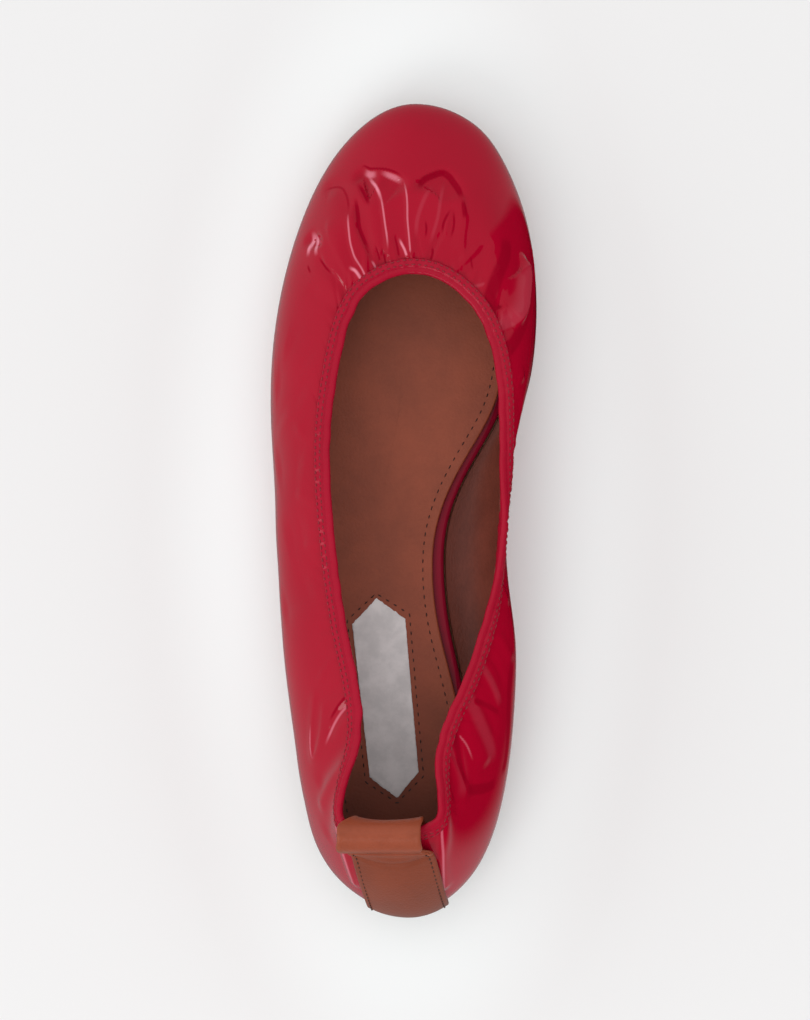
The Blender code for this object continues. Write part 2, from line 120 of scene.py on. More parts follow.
# Half-breadths of the last in plan, as shares of its width, at shares of its length from the heel
FEATHER_ROWS = table(Sides, (
    (0.022, 0.201, 0.193),
    (0.053, 0.275, 0.268),
    (0.109, 0.335, 0.320),
    (0.174, 0.354, 0.323),
    (0.257, 0.368, 0.274),
    (0.384, 0.391, 0.177),
    (0.460, 0.417, 0.162),
    (0.551, 0.463, 0.260),
    (0.600, 0.497, 0.366),
    (0.650, 0.530, 0.440),
    (0.700, 0.542, 0.458),
    (0.820, 0.476, 0.436),
    (0.940, 0.295, 0.290),
))
BULGE_ROWS = table(Sides, (
    (0.040, 0.262, 0.224),
    (0.087, 0.356, 0.306),
    (0.136, 0.392, 0.350),
    (0.236, 0.442, 0.391),
    (0.335, 0.484, 0.399),
    (0.434, 0.504, 0.358),
    (0.533, 0.522, 0.354),
    (0.582, 0.535, 0.362),
    (0.632, 0.542, 0.431),
    (0.732, 0.524, 0.465),
    (0.831, 0.455, 0.442),
    (0.930, 0.316, 0.332),
    (0.980, 0.171, 0.201),
))
TOPLINE_ROWS = table(Sides, (
    (0.012, 0.208, 0.222),
    (0.030, 0.266, 0.282),
    (0.065, 0.280, 0.297),
    (0.100, 0.266, 0.284),
    (0.134, 0.238, 0.276),
    (0.168, 0.216, 0.290),
    (0.203, 0.212, 0.324),
    (0.272, 0.250, 0.416),
    (0.341, 0.311, 0.475),
    (0.410, 0.356, 0.524),
    (0.549, 0.425, 0.550),
    (0.689, 0.461, 0.549),
    (0.829, 0.426, 0.507),
    (0.934, 0.342, 0.366),
    (0.969, 0.262, 0.256),
))
# Height of the bulge, as a share of the rise from the sole to the topline
BULGE_RISES = table(Sides, (
    (0.00, 0.24, 0.24),
    (0.20, 0.34, 0.34),
    (0.45, 0.38, 0.70),
    (0.56, 0.34, 0.66),
    (0.63, 0.32, 0.50),
    (0.71, 0.30, 0.33),
    (0.85, 0.26, 0.26),
    (1.00, 0.20, 0.20),
))
# How far the wall has bent over by the topline, in degrees, and the power that straightens it at the heel
LEANS = table(Sides, (
    (0.00, 30, 30),
    (0.20, 48, 48),
    (0.45, 55, 30),
    (0.60, 62, 40),
    (0.80, 74, 70),
    (1.00, 80, 80),
))
LEAN_POWERS = ((0.00, 0.72), (0.20, 0.86), (0.45, 1.00), (1.00, 1.00))
# Underside of the outsole, as shares of the heel lift's height and of the toe spring
SOLE_PROFILE = table(Profile, (
    (0.000, 1.000, 0.000),
    (0.270, 1.000, 0.000),
    (0.350, 0.800, 0.000),
    (0.450, 0.360, 0.000),
    (0.520, 0.090, 0.000),
    (0.575, 0.000, 0.000),
    (0.730, 0.000, 0.000),
    (0.800, 0.000, 0.060),
    (0.900, 0.000, 0.400),
    (1.000, 0.000, 1.000),
))

# Folds of the patent leather, placed one by one. A height above 0 is a ridge and below 0 a trough, in
# millimetres. left and right are how far it reaches to its sides, in millimetres, seen from outside along its
# line. A point of the line is a turn in degrees and a distance below the topline in millimetres
VAMP_FOLDS = (
    Fold(-1.70, 1.9, 6.0, ((156.5, 31), (160, 33.2), (163, 30.2), (166.5, 28), (168, 26.5))),
    Fold(-1.70, 1.9, 6.0, ((166.3, 30.4), (168.5, 28.6), (171.7, 26), (175, 23.8), (177.5, 21.5))),
    Fold(0.48, 3.2, 0.70, (
        (161.5, 31.5), (162.6, 29.8), (164.6, 27), (166.5, 23), (167.5, 15), (168, 10), (168.6, 5),
    )),
    Fold(0.48, 3.2, 0.70, ((175.9, 25.6), (177, 21.7), (177.4, 17), (177.4, 13), (177.9, 9.5), (178.6, 4))),
    Fold(0.48, 3.2, 0.70, ((154, 25.5), (153.4, 17), (153.8, 12.7), (154.5, 10), (156.4, 6), (158, 3))),
    Fold(-0.70, 2.5, 3.0, ((144, 41.6), (147, 40), (151.5, 35.3), (153.4, 31), (154.1, 27), (153.8, 22))),
    Fold(-0.75, 2.6, 0.8, ((157.9, 31.5), (159.4, 28.7), (160.9, 25), (162, 21.5))),
    Fold(-0.85, 2.6, 0.9, (
        (156.8, 28), (157.1, 22), (157.1, 18), (158, 14.6), (159, 11.8), (160.5, 9), (162.5, 3),
    )),
    Fold(-1.60, 1.7, 5.0, (
        (182.0, 20.5), (182.6, 24), (184.1, 25), (186.8, 26.6), (189.8, 28.2), (192.4, 27.8), (194.6, 26.2),
        (196.5, 24.2), (197.5, 22),
    )),
    Fold(0.60, 0.9, 3.0, (
        (194.2, 28.5), (196.1, 26), (197.6, 23.6), (198.8, 21), (199.9, 18), (200.2, 13), (201.5, 7),
    )),
    Fold(0.50, 1.0, 0.9, ((194.8, 20), (193.8, 16), (193.4, 13), (193.8, 9.5))),
    Fold(0.26, 3.0, 1.4, ((187.1, 25), (183.8, 19), (181.5, 13), (181, 7))),
    Fold(0.28, 1.4, 2.6, ((190.1, 27), (189.8, 21), (189.4, 14.6), (187, 6))),
    Fold(0.40, 1.2, 0.7, ((173.2, 8.6), (175.1, 5.7), (177, 2.6))),
    Fold(0.40, 1.4, 0.7, ((151.5, 9.3), (153.4, 7.4), (156, 3))),
    Fold(-0.50, 0.9, 0.9, ((162.5, 10), (163.9, 5), (164.5, 2))),
    Fold(-0.50, 0.9, 0.9, ((165, 8), (166.2, 4), (167, 1.5))),
    Fold(-0.45, 1.0, 1.0, ((170.8, 11), (172, 7), (173, 3))),
    Fold(-0.50, 1.0, 1.2, ((191.5, 12), (190, 8), (187.5, 3))),
    Fold(0.45, 1.0, 1.4, ((208.5, 18), (206, 13.5), (203, 9), (199, 3))),
    Fold(-0.45, 1.3, 1.2, ((213.5, 21), (209.5, 16), (206.5, 10), (203, 4))),
    Fold(-1.60, 1.7, 3.0, ((134.5, 34.3), (136.8, 33.8), (138.8, 31.8), (140.3, 28.5), (140.8, 24.5))),
    Fold(-0.60, 0.9, 1.8, ((140.2, 26), (140.8, 21), (142, 17.5), (145, 12), (149, 4))),
    Fold(0.50, 3.0, 1.3, ((146.5, 30), (147, 22), (149, 14), (152.5, 5))),
    Fold(-0.45, 2.5, 2.5, ((133, 24), (135, 17), (139, 10), (143.5, 3))),
)
BALL_FOLDS = (
    Fold(2.00, 1.8, 4.6, (
        (225, 29), (228, 32), (231, 32.5), (233, 29), (234.4, 24.7), (233.5, 19), (230.5, 13),
    )),
    Fold(0.30, 1.2, 1.0, ((219, 19), (216, 14), (213.5, 10.5))),
    Fold(0.28, 1.5, 1.5, ((214.5, 9.8), (211, 6), (207.5, 3))),
    Fold(0.28, 1.4, 1.4, ((217.6, 9), (214.5, 5.5), (212, 2.8))),
    Fold(-0.50, 1.1, 1.1, ((224.5, 12.5), (221, 8.5), (217, 4))),
    Fold(0.45, 1.2, 1.2, ((222, 10), (219.5, 6), (217, 3))),
    Fold(0.45, 1.2, 1.2, ((226, 9), (223.5, 5), (221, 3))),
    Fold(-0.50, 2.0, 2.0, ((233, 19), (230, 12), (226, 5))),
    Fold(0.50, 1.4, 1.4, ((236.5, 12), (233, 8), (229.5, 3))),
    Fold(0.60, 2.0, 3.0, ((246, 22), (244, 15), (240.5, 9), (236, 4))),
    Fold(-0.50, 2.5, 2.5, ((252, 20), (249, 12), (244, 5))),
    Fold(0.45, 2.0, 2.0, ((257, 15), (254, 9), (250, 4))),
    Fold(0.40, 2.0, 2.0, ((266, 12), (263.5, 8), (261, 4))),
    Fold(0.45, 1.6, 1.6, ((284, 11), (281, 6), (278, 2.4))),
)
SIDE_FOLDS = (
    Fold(-0.60, 8.0, 6.0, ((109, 32), (114, 18), (118, 6))),
    Fold(-0.60, 8.0, 6.0, ((96, 28), (100, 17), (104, 6))),
    Fold(-0.50, 6.0, 7.0, ((86, 20), (89, 12), (92, 5))),
    Fold(-0.60, 7.0, 5.0, ((75, 26), (78, 15), (82, 5))),
    Fold(-0.55, 6.0, 6.0, ((119, 28), (123, 16), (127, 5))),
    Fold(0.40, 4.0, 8.0, ((108, 22), (108, 12), (110, 5))),
    Fold(0.35, 2.0, 2.0, ((96.5, 13), (97, 8), (98, 3))),
    Fold(0.35, 2.0, 2.0, ((110, 13), (109, 8), (111, 3))),
    Fold(0.20, 1.6, 1.6, ((88, 10), (89, 6), (90, 3))),
)
HEEL_FOLDS = (
    Fold(0.30, 1.2, 2.0, (
        (63.4, 12), (60, 14.7), (55.5, 18), (52, 20), (50.6, 19.9), (51, 17), (55, 13), (61, 9.5),
    )),
    Fold(-0.50, 1.3, 2.0, ((51.4, 12.2), (54, 9.3), (56.6, 4.8), (58.5, 0.5))),
    Fold(0.22, 1.4, 1.4, ((63, 12), (66, 7), (68.5, 2))),
    Fold(0.15, 1.4, 1.4, ((71, 8), (72, 5), (73, 1))),
    Fold(-0.50, 3.0, 3.0, ((44, 20), (47, 12), (50, 3))),
    Fold(0.55, 2.5, 2.5, ((38, 21), (41, 13), (43, 4))),
    Fold(-0.50, 4.0, 4.0, ((30, 22), (33, 12), (36, 3))),
    Fold(0.60, 1.5, 2.5, ((15.5, 33), (18, 18), (22, 3))),
    Fold(0.45, 2.0, 2.0, ((292.5, 17), (291, 11.8), (288, 5))),
    Fold(-0.40, 1.6, 1.6, ((297, 15), (294, 9), (291, 2))),
    Fold(0.45, 1.8, 1.8, ((300, 16), (297.5, 9), (295, 3))),
    Fold(-0.45, 1.8, 1.8, ((306, 20), (302.5, 12), (299, 2))),
    Fold(0.80, 3.6, 3.4, ((312, 20), (309.5, 14), (307.5, 9.4), (303.5, 2))),
    Fold(-0.60, 1.8, 2.0, ((320, 17), (317, 13.7), (314, 5), (310.5, 1))),
    Fold(0.60, 2.0, 2.0, ((322, 15), (319, 9), (315, 3))),
    Fold(-1.00, 1.8, 1.8, ((327, 12), (324, 5), (319.5, 1))),
    Fold(0.80, 1.2, 2.4, ((345.5, 34), (344.6, 16), (341, 7), (337, 1))),
)
# Painted highlights and painted dark reflections of the lacquer along its creases, placed as the folds are. A
# height above 0 is how strongly a pale highlight is painted, and below 0 how strongly a dark reflection is
# painted in deep red with the gloss lowered, in fine lines and in the broad hollows of ball and heel
PAINTED_REFLECTIONS = (
    Fold(0.60, 0.9, 0.9, ((160.1, 34.6), (161.5, 33.2), (162.7, 32), (164.3, 31), (166, 30.3))),
    Fold(0.55, 0.8, 0.8, ((166.6, 30.8), (169.3, 29), (171.7, 27.6), (174, 26.2), (176.2, 25))),
    Fold(0.9, 0.45, 0.45, ((161.6, 32.6), (163.2, 29.5), (164.8, 26.8), (166, 24), (166.8, 21))),
    Fold(0.60, 0.26, 0.26, (
        (165.8, 25), (166.7, 22), (167.2, 18.6), (167.6, 13.8), (168, 10.4), (168.2, 6),
    )),
    Fold(0.55, 0.24, 0.24, (
        (175.8, 26), (177, 21.7), (177.4, 18), (177.4, 13.4), (177.8, 9.7), (178.5, 4),
    )),
    Fold(0.55, 0.26, 0.26, (
        (154, 25), (153.4, 16.6), (153.8, 12.7), (154.5, 10), (156.4, 6), (157.5, 3.5),
    )),
    Fold(0.80, 0.35, 0.35, ((173.2, 8.6), (174.4, 6.6), (175.8, 4.6), (176.6, 3))),
    Fold(0.85, 0.45, 0.45, ((151.6, 9.6), (152.6, 8.2), (154, 6.6), (155.8, 3.4))),
    Fold(0.55, 0.30, 0.30, ((160.4, 6.6), (161.6, 4.6), (162.6, 2.5))),
    Fold(1.0, 0.8, 0.8, ((135.2, 29.6), (136.6, 31.4), (138, 33), (139.4, 33.9))),
    Fold(0.9, 0.7, 0.7, ((138.9, 34), (139.4, 31), (139.3, 28), (139.1, 24.5))),
    Fold(-1.0, 0.9, 0.9, (
        (182.3, 21.3), (182.6, 24.5), (184.1, 26.1), (186.8, 27.7), (189.8, 29.3), (192.4, 29), (194.6, 27.4),
        (196.1, 26.1), (197.3, 24.2), (198, 22.5),
    )),
    Fold(-0.9, 0.7, 0.7, ((197.8, 24.2), (198.4, 22.3), (199.2, 20.2), (199.9, 17.6))),
    Fold(-0.9, 0.55, 0.55, ((157.6, 32), (159.4, 28.7), (160.9, 25), (162.2, 21))),
    Fold(-0.9, 0.60, 0.60, (
        (156.8, 28.5), (157.1, 22), (157.1, 18), (158, 14.6), (159, 11.8), (160.7, 8.5),
    )),
    Fold(-0.9, 0.35, 0.35, (
        (158.6, 34.6), (160.3, 36), (163, 33.6), (166, 32), (170, 30.2), (174, 27.9), (176.8, 25.8),
    )),
    Fold(-0.9, 0.40, 0.40, ((194.8, 20), (192.8, 16), (192, 13.2), (192.2, 10))),
    Fold(-0.8, 0.35, 0.35, ((194.8, 20), (195.9, 16.5), (196, 13.5), (195, 9.5))),
    Fold(-0.8, 0.30, 0.30, ((162.3, 11), (163.7, 6.5), (164.5, 3))),
    Fold(-0.8, 0.30, 0.30, ((165, 9), (166.2, 5), (167, 2))),
    Fold(-0.7, 0.35, 0.35, ((170.8, 11), (172, 7.4), (173, 3.5))),
    Fold(-0.8, 0.35, 0.35, ((184.6, 14), (185.4, 11), (185, 7.5))),
    Fold(-0.8, 0.40, 0.40, ((188.2, 6.5), (188.6, 4.5), (188, 2.5))),
    Fold(-0.7, 0.30, 0.30, ((203.8, 10.5), (205.4, 8), (206.4, 6.5))),
    Fold(-0.5, 0.45, 0.45, (
        (144, 41.6), (147, 40.1), (151.5, 35.3), (153.4, 31.2), (154.1, 27.3), (153.8, 23),
    )),
    Fold(-0.8, 0.40, 0.40, ((139.3, 25), (140.6, 21.3), (141.8, 18), (143.3, 15), (145, 12))),
    Fold(-0.7, 0.45, 0.45, ((134.5, 28.6), (134.8, 25.6), (135.4, 23.4))),
    Fold(0.06, 0.6, 0.6, ((187.1, 25), (183.8, 19), (181.5, 13), (181, 7))),
    Fold(0.06, 0.5, 0.5, ((191, 27), (190.2, 21), (189.6, 14.6), (187, 6))),
    Fold(0.10, 0.6, 4.6, (
        (226.5, 31), (231, 33), (232.6, 29.2), (234.4, 24.7), (233.2, 18), (229.4, 11.5), (225.4, 6),
    )),
    Fold(0.16, 0.35, 0.35, ((218.4, 18.4), (216.4, 14.6), (214, 10.8))),
    Fold(0.10, 0.45, 0.45, ((213.8, 9.2), (211, 6.2), (208, 3.4))),
    Fold(0.10, 0.45, 0.45, ((217.1, 8.5), (215, 5.7), (212.6, 3))),
    Fold(-0.9, 0.50, 0.50, ((224.2, 12.3), (221.4, 8.6), (218, 4.6))),
    Fold(0.06, 1.3, 1.3, ((293.8, 1.5), (295.4, 5), (297.4, 9.5), (300.2, 15.6))),
    Fold(0.06, 2.4, 2.4, ((301.2, 2.4), (304.1, 8.6), (307.5, 16.7), (310.8, 22))),
    Fold(0.05, 2.6, 2.6, ((312.4, 3.5), (315, 7), (318, 9.8), (322.5, 12))),
    Fold(-0.9, 0.60, 0.60, ((318.6, 0.5), (321, 2.8), (324, 6), (326.6, 9.6))),
    Fold(0.35, 0.26, 0.26, ((308.6, 2), (309.8, 6.8), (312.4, 12))),
    Fold(0.45, 0.35, 0.35, ((341.5, 1), (342.8, 6), (344.2, 15), (345.4, 26), (346.1, 35))),
    Fold(0.45, 0.45, 0.45, ((16, 34), (18, 18), (20.5, 7), (22, 2))),
    Fold(0.45, 0.45, 0.45, ((58.2, 1), (56.6, 4.8), (54, 9.3), (51.2, 12.6))),
    Fold(-0.7, 0.50, 0.50, ((59.6, 2), (57.8, 6), (55.4, 10))),
    Fold(0.45, 0.30, 0.30, ((57, 17.5), (53, 19.8), (50.6, 20), (50.2, 18))),
    Fold(-0.85, 2.1, 2.1, ((217, 28), (219, 22), (217, 13), (215.6, 5.5), (218, 1.5))),
    Fold(-0.80, 2.2, 2.2, ((229, 46), (234.5, 45), (237.4, 35), (237.4, 24), (234.4, 12.5), (229, 2.5))),
    Fold(-0.80, 1.7, 1.7, ((290.5, 14), (297, 18), (303.4, 25), (308.6, 29.5), (312.8, 30))),
    Fold(-0.80, 1.8, 1.8, ((320, 11), (317.6, 17.3), (315.4, 23.2), (312.8, 28.5))),
    Fold(-0.75, 0.9, 0.9, ((300.5, 4.6), (300.7, 10.7), (301.5, 18))),
    Fold(-0.75, 1.0, 1.0, ((309, 2), (314.6, 7.4), (319.1, 13))),
)
# How strong the small puckers at the stitching are round the topline, and how far they run down in mm
PUCKERS = table(Gathers, (
    (0, 0.3, 2.5),
    (40, 0.6, 3.0),
    (62, 0.6, 4.0),
    (90, 0.5, 3.5),
    (120, 0.5, 3.5),
    (145, 1.1, 5.0),
    (180, 1.3, 6.0),
    (215, 1.3, 5.0),
    (240, 1.0, 3.5),
    (270, 0.9, 3.0),
    (300, 1.2, 4.0),
    (325, 1.0, 3.5),
    (360, 0.3, 2.5),
))
# How far the throat carries the folds with it: aside in degrees of turn, lower in millimetres down the wall
DRIFTS = table(Drift, (
    (0, 0.0, 0.0),
    (75, 0.0, 0.2),
    (90, -0.3, 1.2),
    (105, -0.8, 2.0),
    (130, -1.4, 1.8),
    (146, 0.0, 0.0),
    (158, 2.6, -1.6),
    (170, 1.5, -0.5),
    (180, 0.0, 0.0),
    (195, -1.2, -0.5),
    (212, -1.4, -1.2),
    (228, -2.8, -3.0),
    (245, -2.7, -3.8),
    (262, -1.2, -2.6),
    (285, 0.0, 0.0),
    (360, 0.0, 0.0),
))
# Folds of the lining where it hangs free in the waist and the heel
LINING_FOLDS = (
    Fold(-0.60, 4.0, 3.0, ((262, 26), (262, 4))),
    Fold(0.60, 3.0, 3.0, ((271, 26), (270, 4))),
    Fold(-0.70, 3.0, 2.5, ((278, 24), (277, 4))),
    Fold(0.60, 3.5, 3.0, ((287, 24), (285, 4))),
    Fold(-0.60, 3.0, 3.0, ((295, 24), (293, 4))),
)

# How folds, gathers and swells lie on the wall
DRIFT_REACH = 40.0  # millimetres down the wall over which a drift would fade away
DRIFT_KEPT = 0.35  # share of a drift that stays at any depth
TOP_GAP = 0.4  # millimetres from the topline that no line drifts past
STITCHED_DEPTH = 5  # a fold that ends within so many millimetres of the topline runs in under the stitching
DYING_LENGTH = 5 * MM
DEEPEST_PUCKER = 16 * MM
PUFF_TURNS = ((128, 0.0), (150, 1.0), (205, 1.0), (228, 0.0))
PUFF_DOWN, PUFF_REACH = 23 * MM, 11 * MM
TOE_BEGINS = 0.72  # share of the length where the last begins to hold the leather smooth
SWELL_COUNT = 90
FIRST_SWELL_RING = 20

# Fineness of the meshes
AROUND = 1400
HALF = AROUND // 2
TURNS = 2 * math.pi * np.arange(AROUND) / AROUND
DEGREES = np.degrees(TURNS)
SHARES = (1 - np.cos(TURNS)) / 2
MEDIAL = TURNS > math.pi
SMOOTHING = math.radians(3.5)  # spread of the rounding that takes the kinks out of the tables' curves
LOWER_RINGS = 10
UPPER_RINGS = 118
HIDDEN_RINGS = 7
CROWDING = 1.25  # power that brings the upper's rings closer together towards the topline
LINE_STEPS = 6  # steps that a fold's line takes between two of its points
SLAB_STEP = 2  # every so many points of an outline go into the pieces under the foot
EDGE_STEPS = 4


def smooth_curve(points, x):
    """Values at x of a smooth curve through (x, y) points, level outside them."""
    xs, ys = np.array(points, float).T
    steps = np.diff(ys) / np.diff(xs)
    before, after = steps[:-1], steps[1:]
    slopes = np.zeros(len(xs))
    steady = before * after > 0
    slopes[1:-1][steady] = 2 * (before * after)[steady] / (before + after)[steady]
    x = np.clip(x, xs[0], xs[-1])
    i = np.clip(np.searchsorted(xs, x, side="right") - 1, 0, len(xs) - 2)
    span = np.diff(xs)[i]
    t = (x - xs[i]) / span
    return (
        ys[i] * (1 + 2 * t) * (1 - t) ** 2
        + ys[i + 1] * t * t * (3 - 2 * t)
        + span * (slopes[i] * t * (1 - t) ** 2 - slopes[i + 1] * t * t * (1 - t))
    )


def ease(share):
    """Smooth step from 0 to 1."""
    share = np.clip(share, 0.0, 1.0)
    return share * share * (3 - 2 * share)


def bell(distance, reach):
    """1 where the distance is 0, dying away over the reach."""
    return np.exp(-((distance / reach) ** 2))


def rounded(values, spread=SMOOTHING):
    """Values round a ring, smoothed by a bell curve."""
    waves = np.fft.rfft(values)
    damping = np.exp(-0.5 * (np.arange(len(waves)) * spread) ** 2)
    return np.fft.irfft(waves * damping, len(values))


def read(rows, column, places=SHARES):
    """A table's values in one column, at places along its first column."""
    return smooth_curve([(row[0], getattr(row, column)) for row in rows], places)


def around(rows):
    """A table's values round the ring, its lateral column on one side and its medial one on the other."""
    return rounded(np.where(MEDIAL, read(rows, "medial"), read(rows, "lateral")))


def unit(vectors):
    return vectors / np.linalg.norm(vectors, axis=-1, keepdims=True)


def ahead(ring):
    """Way along a closed ring at each of its points."""
    return unit(np.roll(ring, -1, axis=-2) - np.roll(ring, 1, axis=-2))


def outline(back, length, width, heel_x, toe_x, rows):
    """Plan outline from a table of half-breadths, round at both ends because only its fullness is read."""
    angles = [math.acos(1 - 2 * row.along) for row in rows]
    angle = np.arccos(np.cos(TURNS))
    medial, lateral = (
        smooth_curve([(a, getattr(row, side) / math.sin(a)) for a, row in zip(angles, rows)], angle)
        for side in ("medial", "lateral")
    )
    fullness = rounded(np.where(MEDIAL, medial, lateral))
    x = heel_x + (toe_x - heel_x) * SHARES - width * fullness * np.sin(TURNS)
    return np.column_stack((x, back + length * SHARES))


def moved_out(plan, outset):
    """A plan outline moved outwards."""
    way = ahead(plan)
    return plan + np.column_stack((-way[:, 1], way[:, 0])) * outset


def last_outlines():
    """The three plan outlines of the last, with the shoe's middle at the origin."""
    bulge = outline(0, SHOE_LENGTH, SHOE_WIDTH, HEEL_SWING, TOE_SWING, BULGE_ROWS)
    middle = (bulge[:, 0].min() + bulge[:, 0].max()) / 2
    heel = (SEAT_GAP + STRIP_THICKNESS - SHOE_LENGTH) / 2
    bulge += (-middle, heel)
    toe_x = TOE_SWING - middle
    feather = outline(heel + HEEL_INSET, SOLE_LENGTH, SOLE_WIDTH, -middle, toe_x, FEATHER_ROWS)
    topline = outline(
        heel + COLLAR_INSET, COLLAR_LENGTH, COLLAR_WIDTH, -HEEL_SWING - middle, toe_x, TOPLINE_ROWS
    )
    return middle, heel, feather, bulge, topline


MIDDLE_X, HEEL_Y, FEATHER, BULGE, TOPLINE = last_outlines()


def sole_bottom(y):
    along = (y - HEEL_Y - HEEL_INSET) / SOLE_LENGTH
    heel, toe = (read(SOLE_PROFILE, end, along) for end in ("heel", "toe"))
    return HEEL_LIFT_HEIGHT * heel + TOE_SPRING * toe


def sole_top(y):
    return sole_bottom(y) + OUTSOLE_THICKNESS


def footbed_top(y):
    return sole_top(y) + SEAT_GAP + FOOTBED_THICKNESS


def insole_top(y):
    return footbed_top(y) + SEAT_GAP + INSOLE_THICKNESS


# Heights of the wall's topline and bulge round the ring, and how it leans in between the two
TOP_Z = smooth_curve([(0.0, COLLAR_HEIGHT), (0.5, SIDE_HEIGHT), (1.0, THROAT_HEIGHT)], SHARES)
BULGE_SHARE = around(BULGE_RISES)
BULGE_Z = sole_top(BULGE[:, 1]) * (1 - BULGE_SHARE) + TOP_Z * BULGE_SHARE
LEAN = np.radians(around(LEANS))
LEAN_POWER = rounded(smooth_curve(LEAN_POWERS, SHARES))


def upper_ring(rise):
    """Ring of the upper's outer face. rise is 0 at the feather line, 1 at the bulge, 2 at the topline."""
    if rise <= 1:
        angle = rise * math.pi / 2
        plan = FEATHER + (BULGE - FEATHER) * math.sin(angle)
        base = sole_top(plan[:, 1]) + SEAT_GAP
        return np.column_stack((plan, base + (BULGE_Z - base) * (1 - math.cos(angle))))
    angle = (rise - 1) * LEAN
    inwards = ((1 - np.cos(angle)) / (1 - np.cos(LEAN))) ** LEAN_POWER
    plan = BULGE + (TOPLINE - BULGE) * inwards[:, None]
    return np.column_stack((plan, BULGE_Z + (TOP_Z - BULGE_Z) * np.sin(angle) / np.sin(LEAN)))


def upper_rings(rises):
    return np.array([upper_ring(rise) for rise in rises])


def upper_frames(rises, step=1e-3):
    """Outward normals of the upper's rings, and the ways to the topline along it, square to each ring."""
    low = upper_rings(np.clip(rises - step, 0, 2))
    high = upper_rings(np.clip(rises + step, 0, 2))
    way = ahead(upper_rings(rises))
    normal = unit(np.cross(high - low, way))
    return normal, unit(np.cross(way, normal))


def wall_rises():
    """Rises of the upper's rings, closer together towards the topline."""
    lower = np.linspace(0, 1, LOWER_RINGS, endpoint=False)
    share = np.linspace(0, 1, UPPER_RINGS)
    return np.concatenate((lower, 2 - (1 - share) ** CROWDING))


def run_down(rings):
    """Distance below the topline along the wall, for each point of the rings."""
    steps = np.linalg.norm(np.diff(rings, axis=0), axis=2)
    return np.vstack((np.cumsum(steps[::-1], axis=0)[::-1], np.zeros(rings.shape[1])))


def arc_of(ring):
    """Distance along a closed ring from its first point, and its whole length."""
    steps = np.linalg.norm(np.roll(ring, -1, axis=0) - ring, axis=1)
    return np.concatenate(([0.0], np.cumsum(steps)[:-1])), steps.sum()


def point_on_wall(rings, down, turn, below):
    """Point at a turn in radians and a distance below the topline."""
    place = (turn % (2 * math.pi)) / (2 * math.pi) * AROUND
    left = int(place) % AROUND
    share = place - int(place)
    found = []
    for column in (left, (left + 1) % AROUND):
        depth = down[::-1, column]
        found.append([np.interp(below, depth, rings[::-1, column, axis]) for axis in range(3)])
    return np.array(found[0]) * (1 - share) + np.array(found[1]) * share


def smooth_line(values, marks):
    """Values between numbered ones along a soft curve through them."""
    i = np.clip(marks.astype(int), 0, len(values) - 2)
    t = marks - i
    slopes = np.gradient(values)
    return (
        values[i] * (1 + 2 * t) * (1 - t) ** 2
        + values[i + 1] * t * t * (3 - 2 * t)
        + slopes[i] * t * (1 - t) ** 2
        - slopes[i + 1] * t * t * (1 - t)
    )


def drifted(turns, depths):
    """A fold's line where the throat carries it. The drift fades with the distance from the topline."""
    hold = np.clip(1.15 - depths / DRIFT_REACH, DRIFT_KEPT, 1.0)
    aside, lower = (read(DRIFTS, column, turns) for column in ("aside", "lower"))
    return turns + aside * hold, np.maximum(depths + lower * hold, np.minimum(depths, TOP_GAP))


def fold_relief(rings, normals, down, folds, scale=1.0, crispness=2):
    """Height that a table of folds adds to the wall. A fold dies out at an end that is away from the
    stitching. The higher the crispness, the steeper its sides."""
    relief = np.zeros(down.shape)
    for fold in folds:
        corners = np.array(fold.line, float)
        marks = np.linspace(0, len(corners) - 1, LINE_STEPS * (len(corners) - 1) + 1)
        turns, depths = drifted(*(smooth_line(corners[:, column], marks) for column in (0, 1)))
        placed = zip(np.radians(turns), depths * MM)
        line = np.array([point_on_wall(rings, down, turn, below) for turn, below in placed])
        runs = np.concatenate(([0.0], np.cumsum(np.linalg.norm(np.diff(line, axis=0), axis=1))))
        reach = 3 * max(fold.left, fold.right) * MM
        near = np.all((rings > line.min(0) - reach) & (rings < line.max(0) + reach), axis=2)
        points, outwards = rings[near], normals[near]
        best = np.full(len(points), np.inf)
        run = np.zeros(len(points))
        side = np.zeros(len(points))
        for i, (a, b) in enumerate(zip(line, line[1:])):
            leg = b - a
            share = np.clip(((points - a) @ leg) / (leg @ leg), 0, 1)
            off = points - a - share[:, None] * leg
            distance = np.linalg.norm(off, axis=1)
            closer = distance < best
            best[closer] = distance[closer]
            run[closer] = (runs[i] + share * (runs[i + 1] - runs[i]))[closer]
            side[closer] = np.sum(np.cross(leg, off) * outwards, axis=1)[closer]
        width = np.where(side > 0, fold.left, fold.right) * MM
        profile = np.exp(-((best / width) ** crispness))
        fade = 1.0
        for end, left_to_run in ((depths[0], run), (depths[-1], runs[-1] - run)):
            if end > STITCHED_DEPTH:
                fade = fade * ease(left_to_run / min(DYING_LENGTH, runs[-1] / 2.5))
        relief[near] += scale * fold.height * MM * profile * fade
    return relief


